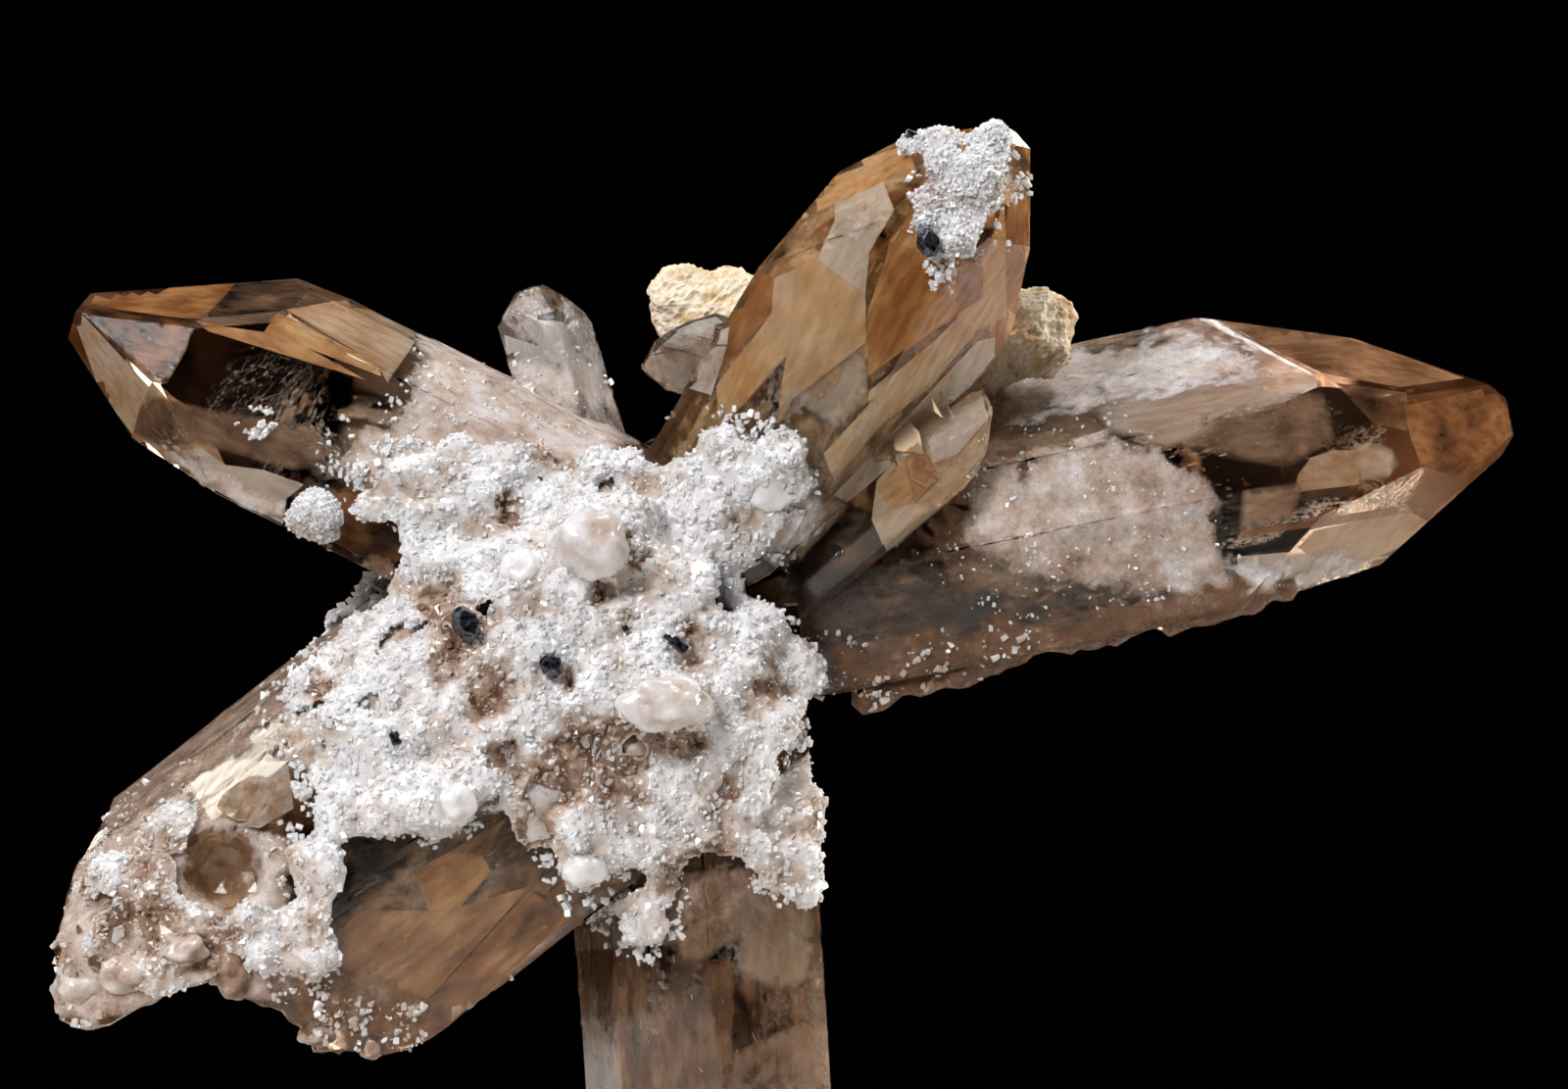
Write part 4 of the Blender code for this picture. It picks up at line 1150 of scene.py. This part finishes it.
def makeGrainShapes():
    # small blocky crystals: a sheared cube with one or two corners cut off, in several tones
    rng = random.Random(grainShapes["seed"])
    shapes = []
    for kind in range(grainShapes["kinds"]):
        bm = bmesh.new()
        bmesh.ops.create_cube(bm, size=1.0)
        bmesh.ops.scale(bm, vec=(1.0, rng.uniform(0.5, 0.9), rng.uniform(0.9, 1.7)), verts=bm.verts)
        for _ in range(1 + kind % 2):
            normal = Vector([rng.choice((-1, 1)) * rng.uniform(0.4, 1) for _ in range(3)]).normalized()
            made = bmesh.ops.bisect_plane(
                bm, geom=bm.verts[:] + bm.edges[:] + bm.faces[:], plane_co=normal * rng.uniform(0.25, 0.45),
                plane_no=normal, clear_outer=True,
            )
            rim = [part for part in made["geom_cut"] if isinstance(part, bmesh.types.BMEdge)]
            if len(rim) > 2:
                bmesh.ops.contextual_create(bm, geom=rim)
        bmesh.ops.recalc_face_normals(bm, faces=bm.faces)
        toneLayer = bm.verts.layers.float.new("tone")
        tones = []
        for number in range(grainShapes["tones"]):
            for vert in bm.verts:
                vert[toneLayer] = number / (grainShapes["tones"] - 1)
            mesh = bpy.data.meshes.new("grain")
            bm.to_mesh(mesh)
            tones.append(mesh)
        bm.free()
        shapes.append(tones)
    return shapes


grainMeshes = makeGrainShapes()


def addShape(bm, shape, matrix):
    # a template mesh added to a growing one
    shape.transform(matrix)
    bm.from_mesh(shape)
    shape.transform(matrix.inverted())


def addGrain(bm, place, normal, size, tone, rng):
    # one grain, turned at random and half sunk in what carries it
    number = round(clamped(tone) * (grainShapes["tones"] - 1))
    lean = Vector([rng.uniform(-1, 1) for _ in range(3)]).normalized()
    turn = Matrix.Rotation(rng.uniform(0, math.tau), 4, lean)
    matrix = Matrix.Translation(place + normal * size * 0.2) @ turn @ Matrix.Scale(size, 4)
    addShape(bm, rng.choice(grainMeshes)[number], matrix)


def grainSize(sizes, rng):
    small, large = sizes
    return small + (large - small) * rng.random() ** 2


def scatterOn(bm, count, rng):
    # random places spread evenly over a mesh's triangles, with their normals
    faces = list(bm.faces)
    areas = [face.calc_area() for face in faces]
    places = []
    for face in rng.choices(faces, weights=areas, k=count):
        corners = [vert.co for vert in face.verts[:3]]
        a, b = rng.random(), rng.random()
        if a + b > 1:
            a, b = 1 - a, 1 - b
        place = corners[0] + a * (corners[1] - corners[0]) + b * (corners[2] - corners[0])
        places.append((place, face.normal.copy()))
    return places


def clumps(place):
    # rounded clumps of about 2.5 mm that carry knobs of 1 mm and 0.4 mm, from about -1 in the creases to 1
    large = 0.55 - noise.voronoi(place * 0.42 + Vector((3, 1, 7)))[0][0]
    middle = 0.5 - noise.voronoi(place * 1.05)[0][0]
    small = 0.5 - noise.voronoi(place * 2.6)[0][0]
    return 0.9 * large + 0.55 * middle + 0.35 * small + 0.4 * noise.noise(place * 0.5)


def crustToneWithShade(place, normal, height):
    # how white the crust is at a place: brown in the thin spots, and darker in the creases between clumps and
    # whitest on them, which is painted shade
    brown = spotStrength(place.x, place.z, brownSpots) if normal.y < 0.2 else 0.0
    return 0.68 + 0.46 * height + 0.2 * noise.noise(place * 0.6) - 0.45 * brown


def makeCrust(name, values, seed):
    rng = random.Random(seed)
    bm = withModifier(nodeCopy(values["node"]), "REMESH", mode="VOXEL", voxel_size=values["voxel"])
    bmesh.ops.triangulate(bm, faces=bm.faces)
    toneLayer = bm.verts.layers.float.new("tone")

    def relief(vert):
        height = clumps(vert.co)
        # tone with painted shade in the creases
        vert[toneLayer] = crustToneWithShade(vert.co, vert.normal, height) - 0.1
        sunk = spotStrength(vert.co.x, vert.co.z, brownSpots) if vert.normal.y < 0 else 0.0
        fromCrystals = crystalTree.find_nearest(vert.co)[3]
        room = clamped((fromCrystals - crustEdge["still"]) / crustEdge["fade"])
        return vert.normal * values["relief"] * room * (height - 0.15 - 0.6 * sunk)

    moveVerts(bm, relief)
    # every other grain goes in a piece of its own, so that neither has too many triangles
    grains = newMesh("tone")
    for number, (place, normal) in enumerate(scatterOn(bm, values["grains"], rng)):
        if crystalTree.find_nearest(place)[3] < crustEdge["bare"]:
            continue
        height = clumps(place)
        # tone with painted shade in the creases
        tone = crustToneWithShade(place, normal, height)
        if rng.random() < 0.7 + 0.9 * height + 0.3 * (tone - 0.5):
            size = grainSize(values["size"], rng)
            addGrain(grains if number % 2 else bm, place, normal, size, tone + rng.uniform(-0.16, 0.22), rng)
    finishPiece(bm, name, crustMat, [values["node"]])
    finishPiece(grains, name + "Grains", crustMat)


crustMat = newMaterial(sugaryCrust)
for crustSeed, (crustName, crustValues) in zip(crustSeeds, crustPieces.items()):
    makeCrust(crustName, crustValues, crustSeed)

thinCrustSeed = 41
# Sparser crust straight on the crystals: grains a square millimetre, their sizes, how white they are, how
# much they gather in clumps, and the outline in the photograph.
thinCrust = {
    "grainsLeft": {
        "leftHaze": (22, (0.06, 0.18), 0.7, 0.45, [
            (400, 400), (430, 350), (500, 380), (590, 425), (630, 500), (540, 560), (430, 545), (345, 520),
            (325, 480), (345, 425),
        ]),
        "leftClumps": (34, (0.08, 0.26), 0.85, 0.35, [
            (345, 490), (365, 455), (420, 445), (500, 470), (540, 520), (500, 560), (430, 550), (360, 520),
        ]),
        "leftSpot": (60, (0.06, 0.2), 0.9, 0.1, [
            (240, 424), (262, 416), (288, 418), (286, 440), (268, 454), (246, 440),
        ]),
        "leftChips": (30, (0.06, 0.16), 0.85, 0.1, [
            (153, 392), (168, 390), (180, 400), (172, 410), (156, 404),
        ]),
        "smallClearFoot": (12, (0.06, 0.16), 0.85, 0.4, [
            (520, 360), (600, 345), (635, 380), (640, 425), (590, 415), (520, 390),
        ]),
        "upperBase": (40, (0.08, 0.24), 0.86, 0.25, [
            (715, 430), (745, 415), (800, 430), (840, 480), (835, 530), (790, 585), (740, 560), (700, 480),
        ]),
        "tipTail": (40, (0.06, 0.22), 0.88, 0.3, [
            (925, 150), (960, 140), (1045, 150), (1050, 190), (1020, 250), (975, 275), (965, 310),
            (945, 300), (930, 240),
        ]),
    },
    "grainsLower": {
        "lowerLeftField": (46, (0.07, 0.26), 0.82, 0.3, [
            (285, 640), (350, 590), (420, 560), (440, 640), (520, 700), (530, 810), (450, 862), (400, 850),
            (330, 835), (290, 800), (262, 720),
        ]),
        "lowerLeftEnd": (20, (0.07, 0.24), 0.62, 0.5, [
            (92, 850), (130, 800), (190, 770), (290, 820), (325, 850), (320, 905), (345, 960), (352, 1010),
            (300, 1020), (250, 985), (150, 1010), (90, 1045), (58, 1020), (66, 930), (80, 880),
        ]),
        "lowerLeftBottom": (20, (0.07, 0.24), 0.48, 0.3, [
            (268, 955), (340, 965), (400, 1010), (460, 1030), (440, 1060), (385, 1080), (320, 1065),
            (290, 1020),
        ]),
    },
    "grainsRight": {
        "footRight": (40, (0.07, 0.26), 0.8, 0.3, [
            (730, 600), (815, 625), (835, 700), (838, 910), (815, 935), (760, 900), (735, 860), (700, 760),
        ]),
        "footLeft": (40, (0.07, 0.26), 0.82, 0.3, [
            (545, 860), (620, 835), (700, 850), (705, 900), (690, 965), (645, 990), (605, 950), (560, 905),
        ]),
        "rightHaze": (9, (0.05, 0.13), 0.82, 0.5, [
            (1010, 400), (1130, 400), (1200, 470), (1270, 560), (1240, 600), (1080, 640), (980, 620),
            (930, 560), (980, 470),
        ]),
        "rightSpots": (40, (0.06, 0.18), 1.0, 0.0, [(1122, 396), (1148, 394), (1148, 408), (1122, 412)]),
        # painted shade: darker grains under the right crystal
        "rightUnderShaded": (16, (0.06, 0.22), 0.45, 0.4, [
            (815, 650), (860, 640), (960, 640), (1100, 650), (1000, 690), (900, 715), (850, 748),
            (825, 745),
        ]),
    },
}
# the same on the back, scattered over a box of left, right, low and high, with looks in the order above
backGrains = {"count": 5200, "box": (-24.0, 20.0, 4.0, 33.0), "looks": ((0.08, 0.26), 0.6, 0.4), "seed": 71}


def addThinCrust(bm, x, z, looks, fromFront, rng):
    sizes, white, clump = looks
    place, normal = firstHit(crystalTree, x, z, fromFront)
    if place is None or any(zoneDepth(x, z, zone) for zone in barePits):
        return
    gather = noise.noise(place * 0.8) + 0.7 * noise.noise(place * 2.1)
    if gather < clump * rng.uniform(-1.0, 1.6):
        return
    tone = white + 0.25 * noise.noise(place * 0.7) + rng.uniform(-0.18, 0.2)
    if fromFront:
        tone -= 0.35 * spotStrength(x, z, brownSpots)
    addGrain(bm, place, normal, grainSize(sizes, rng) * (1 + 0.5 * max(0, gather)), tone, rng)


def makeThinCrust(name, members, seed):
    rng = random.Random(seed)
    bm = newMesh("tone")
    for density, sizes, white, clump, outline in members.values():
        for x, z in placesIn(makeZone(outline), density, rng):
            addThinCrust(bm, x, z, (sizes, white, clump), True, rng)
    finishPiece(bm, name, crustMat)


def makeBackGrains():
    rng = random.Random(backGrains["seed"])
    bm = newMesh("tone")
    left, right, low, high = backGrains["box"]
    for _ in range(backGrains["count"]):
        x, z = rng.uniform(left, right), rng.uniform(low, high)
        if math.dist((x, z), backFrost["middle"]) < backFrost["reach"] * rng.uniform(0.4, 1):
            addThinCrust(bm, x, z, backGrains["looks"], False, rng)
    finishPiece(bm, "grainsBack", crustMat)


for groupNumber, (groupName, groupMembers) in enumerate(thinCrust.items()):
    makeThinCrust(groupName, groupMembers, thinCrustSeed + groupNumber)
makeBackGrains()

# Round glassy knobs and a cream plate that stand out of the crust: (across, down) in the photograph, half
# width, half height and half depth in millimetres, how far the middle stands out, and how white it is.
crustKnobs = {
    "detail": 4, "relief": 0.24,
    "knobs": [
        ((610, 555), (1.5, 1.4, 1.0), 1.0, 0.52), ((680, 714), (1.8, 1.1, 0.8), 0.9, 0.50),
        ((535, 580), (0.8, 0.85, 0.7), 0.7, 0.75), ((598, 882), (0.9, 0.8, 0.7), 0.6, 0.72),
        ((785, 492), (1.2, 1.1, 0.6), 0.3, 0.80), ((470, 815), (0.8, 0.95, 0.7), 0.6, 0.75),
        ((92, 1008), (1.15, 1.1, 1.2), 0.6, 0.36), ((140, 985), (1.2, 0.9, 1.1), 0.5, 0.34),
        ((195, 962), (1.0, 0.7, 0.9), 0.4, 0.30), ((248, 985), (0.75, 1.1, 0.7), 0.3, 0.12),
        ((330, 1048), (0.75, 0.5, 0.6), 0.3, 0.22), ((649, 761), (0.85, 0.7, 0.8), 0.5, 0.30),
        ((385, 1062), (0.5, 0.5, 0.5), 0.3, 0.20),
    ],
}


def makeKnobs():
    solids = [nodeCopy("druse_crust"), nodeCopy("topaz_crystals")]
    trees = [BVHTree.FromBMesh(bm) for bm in solids]
    whole = newMesh("tone")
    for number, (spot, halves, proud, white) in enumerate(crustKnobs["knobs"]):
        halfWidth, halfHeight, halfDepth = halves
        x, z = fromPhoto(*spot)
        hits = [firstHit(tree, x, z)[0] for tree in trees]
        front = min(place.y for place in hits if place)
        bm = bmesh.new()
        bmesh.ops.create_icosphere(bm, subdivisions=crustKnobs["detail"], radius=1.0)
        toneLayer = bm.verts.layers.float.new("tone")
        for vert in bm.verts:
            lumps = noise.noise(vert.co * 1.4 + Vector((number * 5, 0, 0))) + 0.4 * noise.noise(vert.co * 4.1)
            vert[toneLayer] = white + 0.2 * lumps
            vert.co *= 1 + crustKnobs["relief"] * lumps
            vert.co = Vector((vert.co.x * halfWidth, vert.co.y * halfDepth, vert.co.z * halfHeight))
            vert.co += Vector((x, front + halfDepth - proud * 0.5, z))
        joinInto(whole, bm)
    for bm in solids:
        bm.free()
    finishPiece(whole, "crustKnobs", crustMat, smooth=True)


makeKnobs()

# Flecks inside the crystals, thin slivers along each one's length: how many a square millimetre, their
# lengths, how deep they lie and their outline in the photograph.
inclusions = {
    "kinds": 4, "seed": 19, "slimness": (0.10, 0.3), "thinness": 0.08,
    "zones": [
        (0.8, (0.06, 0.3), (0.3, 4.0), [(200, 340), (340, 350), (350, 500), (180, 460), (145, 420)]),
        (3, (0.06, 0.3), (0.2, 2.0), [(330, 350), (400, 400), (390, 540), (320, 500)]),
        (3, (0.1, 0.5), (0.2, 2.5), [(1130, 400), (1300, 390), (1330, 560), (1250, 580), (1200, 480)]),
        (1.6, (0.1, 0.5), (0.2, 3.0), [(1300, 400), (1480, 400), (1440, 540), (1320, 570)]),
        (4, (0.08, 0.4), (0.05, 0.3), [(1010, 380), (1230, 340), (1260, 570), (1000, 620)]),
        (2.5, (0.1, 0.6), (0.2, 1.0), [(720, 430), (850, 190), (1030, 200), (1020, 330), (850, 520)]),
        (4, (0.1, 0.4), (0.1, 0.6), [(880, 520), (1000, 400), (1020, 430), (960, 520)]),
        (3, (0.1, 0.5), (0.1, 0.8), [(330, 850), (540, 820), (590, 920), (470, 1020), (340, 980)]),
        (2, (0.1, 0.5), (0.1, 1.0), [(600, 900), (835, 880), (845, 1110), (600, 1110)]),
        (3, (0.06, 0.25), (0.1, 0.6), [(515, 300), (600, 300), (630, 400), (520, 400)]),
    ],
}


def paleInclusions(mat):
    # Flat inclusions in topaz, gas-filled slivers: they flash pale gold where they catch the light.
    place = objectMillimetres(mat)
    broad = addNode(mat, "TexNoise", {"Scale": 0.9, "Detail": 3.0}, {"Vector": place})
    steps = [(0.35, "#d9b98c"), (0.5, "#f4e3c6"), (0.65, "#fffaf0")]
    colour = addNode(mat, "ValToRGB", {"steps": steps}, {0: broad})
    shader = addNode(mat, "BsdfPrincipled", {"Roughness": 0.2, "IOR": 1.6}, {"Base Color": colour})
    return [shader]


def makeSlivers():
    rng = random.Random(inclusions["seed"])
    shapes = []
    for _ in range(inclusions["kinds"]):
        bm = bmesh.new()
        bmesh.ops.create_cube(bm, size=1.0)
        slim = rng.uniform(*inclusions["slimness"])
        for vert in bm.verts:
            taper = 1.0 if vert.co.z > 0 else rng.uniform(0.1, 0.7)
            across, thick, long = vert.co
            vert.co = (across * slim * taper, thick * inclusions["thinness"], long * taper ** 0.3)
        mesh = bpy.data.meshes.new("sliver")
        bm.to_mesh(mesh)
        bm.free()
        shapes.append(mesh)
    return shapes


def makeInclusions():
    rng = random.Random(inclusions["seed"] + 1)
    shapes = makeSlivers()
    bm = bmesh.new()
    for density, (small, large), depths, outline in inclusions["zones"]:
        for x, z in placesIn(makeZone(outline), density, rng):
            place, normal = firstHit(crystalTree, x, z)
            if place is None or noise.noise(Vector((x, 5, z)) * 0.5) + 0.25 < rng.uniform(-0.4, 0.5):
                continue
            along = frames[crystalAt(place, normal)].to_3x3().to_4x4()
            turn = Matrix.Rotation(rng.gauss(0, 0.25), 4, "X") @ Matrix.Rotation(rng.gauss(0, 0.25), 4, "Y")
            spin = Matrix.Rotation(rng.uniform(0, math.tau), 4, "Z")
            size = Matrix.Scale(small + (large - small) * rng.random() ** 2.5, 4)
            depth = rng.uniform(*depths)
            place = place + Vector((0, depth, 0)) - normal * 0.08
            addShape(bm, rng.choice(shapes), Matrix.Translation(place) @ along @ turn @ spin @ size)
    finishPiece(bm, "inclusions", newMaterial(paleInclusions))


makeInclusions()


def creamRhyolite(mat):
    # Rhyolite, a fine-grained volcanic rock with a broken face: dull cream with rusty specks.
    place = objectMillimetres(mat)
    # rusty patches of about 1.5 mm, with a fine grain
    broad = addNode(mat, "TexNoise", {"Scale": 0.7, "Detail": 6.0, "Roughness": 0.7}, {"Vector": place})
    steps = [(0.33, "#b98447"), (0.41, "#dcbd8e"), (0.50, "#f0e2c8"), (0.75, "#faf3e4")]
    colour = addNode(mat, "ValToRGB", {"steps": steps}, {0: broad})
    shader = addNode(mat, "BsdfPrincipled", {"Roughness": 0.9}, {"Base Color": colour})
    return [shader]


hostRock = {"voxel": 0.15, "relief": 0.17}


def makeHostRock():
    bm = withModifier(nodeCopy("rhyolite_matrix"), "REMESH", mode="VOXEL", voxel_size=hostRock["voxel"])

    def relief(vert):
        place = vert.co
        lumps = noise.noise(place * 1.1) + 0.8 * noise.noise(place * 3.3) + 0.7 * noise.noise(place * 7.0)
        return vert.normal * hostRock["relief"] * lumps

    moveVerts(bm, relief)
    finishPiece(bm, "hostRock", newMaterial(creamRhyolite), ["rhyolite_matrix"])


makeHostRock()


def blackBixbyite(mat):
    # Bixbyite, a black manganese iron oxide: small blocks with a bright metallic face.
    place = objectMillimetres(mat)
    # growth steps of about 0.2 mm
    fine = addNode(mat, "TexNoise", {"Scale": 5.0, "Detail": 3.0}, {"Vector": place})
    colour = addNode(mat, "ValToRGB", {"steps": [(0.35, "#1c1d21"), (0.70, "#6a6e7a")]}, {0: fine})
    rough = addNode(mat, "MapRange", {1: 0.3, 2: 0.7, 3: 0.16, 4: 0.42}, {0: fine})
    shader = addNode(
        mat, "BsdfPrincipled", {"Metallic": 0.85}, {"Base Color": colour, "Roughness": rough},
    )
    return [shader]


bixbyiteMat = newMaterial(blackBixbyite)
for nodeName in ("bixbyite_left", "bixbyite_middle", "bixbyite_upper"):
    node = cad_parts[nodeName]
    if not node.data.materials:
        node.data.materials.append(bixbyiteMat)
    for slotEntry in node.material_slots:
        slotEntry.material = bixbyiteMat

# Small black grains in the crust: (across, down) in the photograph, half length, depth and width in
# millimetres and their turn in degrees.
blackGrains = {
    "bevel": 0.24, "sunk": 0.35, "seed": 83,
    "grains": [
        ((690, 654), (0.62, 0.30, 0.24), 40), ((409, 751), (0.30, 0.24, 0.22), 70),
        ((406, 746), (0.16, 0.16, 0.14), 20), ((928, 142), (0.30, 0.22, 0.20), 25),
        ((640, 640), (0.16, 0.16, 0.13), 60),
    ],
}


def makeBlackGrains():
    rng = random.Random(blackGrains["seed"])
    solids = [nodeCopy(name) for name in ("druse_crust", "tip_crust", "topaz_crystals")]
    trees = [BVHTree.FromBMesh(bm) for bm in solids]
    whole = bmesh.new()
    for spot, halves, turn in blackGrains["grains"]:
        x, z = fromPhoto(*spot)
        hits = [firstHit(tree, x, z)[0] for tree in trees]
        front = min((place for place in hits if place), key=lambda place: place.y)
        bm = bmesh.new()
        bmesh.ops.create_cube(bm, size=2.0)
        for vert in bm.verts:
            vert.co = [side * half * rng.uniform(0.72, 1.0) for side, half in zip(vert.co, halves)]
        roundEdges(bm, bm.edges[:], blackGrains["bevel"] * min(halves), 2)
        lean = Matrix.Rotation(math.radians(turn), 4, "Y") @ Matrix.Rotation(rng.uniform(-0.4, 0.4), 4, "X")
        bm.transform(Matrix.Translation(front + Vector((0, blackGrains["sunk"] * halves[1], 0))) @ lean)
        joinInto(whole, bm)
    for bm in solids:
        bm.free()
    finishPiece(whole, "blackGrains", bixbyiteMat)


makeBlackGrains()
print("bixbyite finished")

floorLook = {"radius": 60.0, "thickness": 2.0, "steps": [(0.3, "#cfcac4"), (0.7, "#d8d4cf")]}


def mattFloor(mat):
    # Matt paper, laid flat: pale, with a faint unevenness.
    grain = addNode(mat, "TexNoise", {"Scale": 0.12, "Detail": 2.0}, {"Vector": objectMillimetres(mat)})
    colour = addNode(mat, "ValToRGB", {"steps": floorLook["steps"]}, {0: grain})
    return [addNode(mat, "BsdfPrincipled", {"Roughness": 0.8}, {"Base Color": colour})]


def makeFloor():
    bm = bmesh.new()
    bmesh.ops.create_cone(
        bm, cap_ends=True, segments=160, radius1=floorLook["radius"], radius2=floorLook["radius"],
        depth=floorLook["thickness"], matrix=Matrix.Translation((0, 0, -floorLook["thickness"] / 2)),
    )
    bmesh.ops.scale(bm, vec=(toMetres,) * 3, verts=bm.verts)
    mesh = bpy.data.meshes.new("paleFloor")
    bm.to_mesh(mesh)
    bm.free()
    mesh.materials.append(newMaterial(mattFloor))
    obj = bpy.data.objects.new("paleFloor", mesh)
    bpy.context.scene.collection.objects.link(obj)


makeFloor()
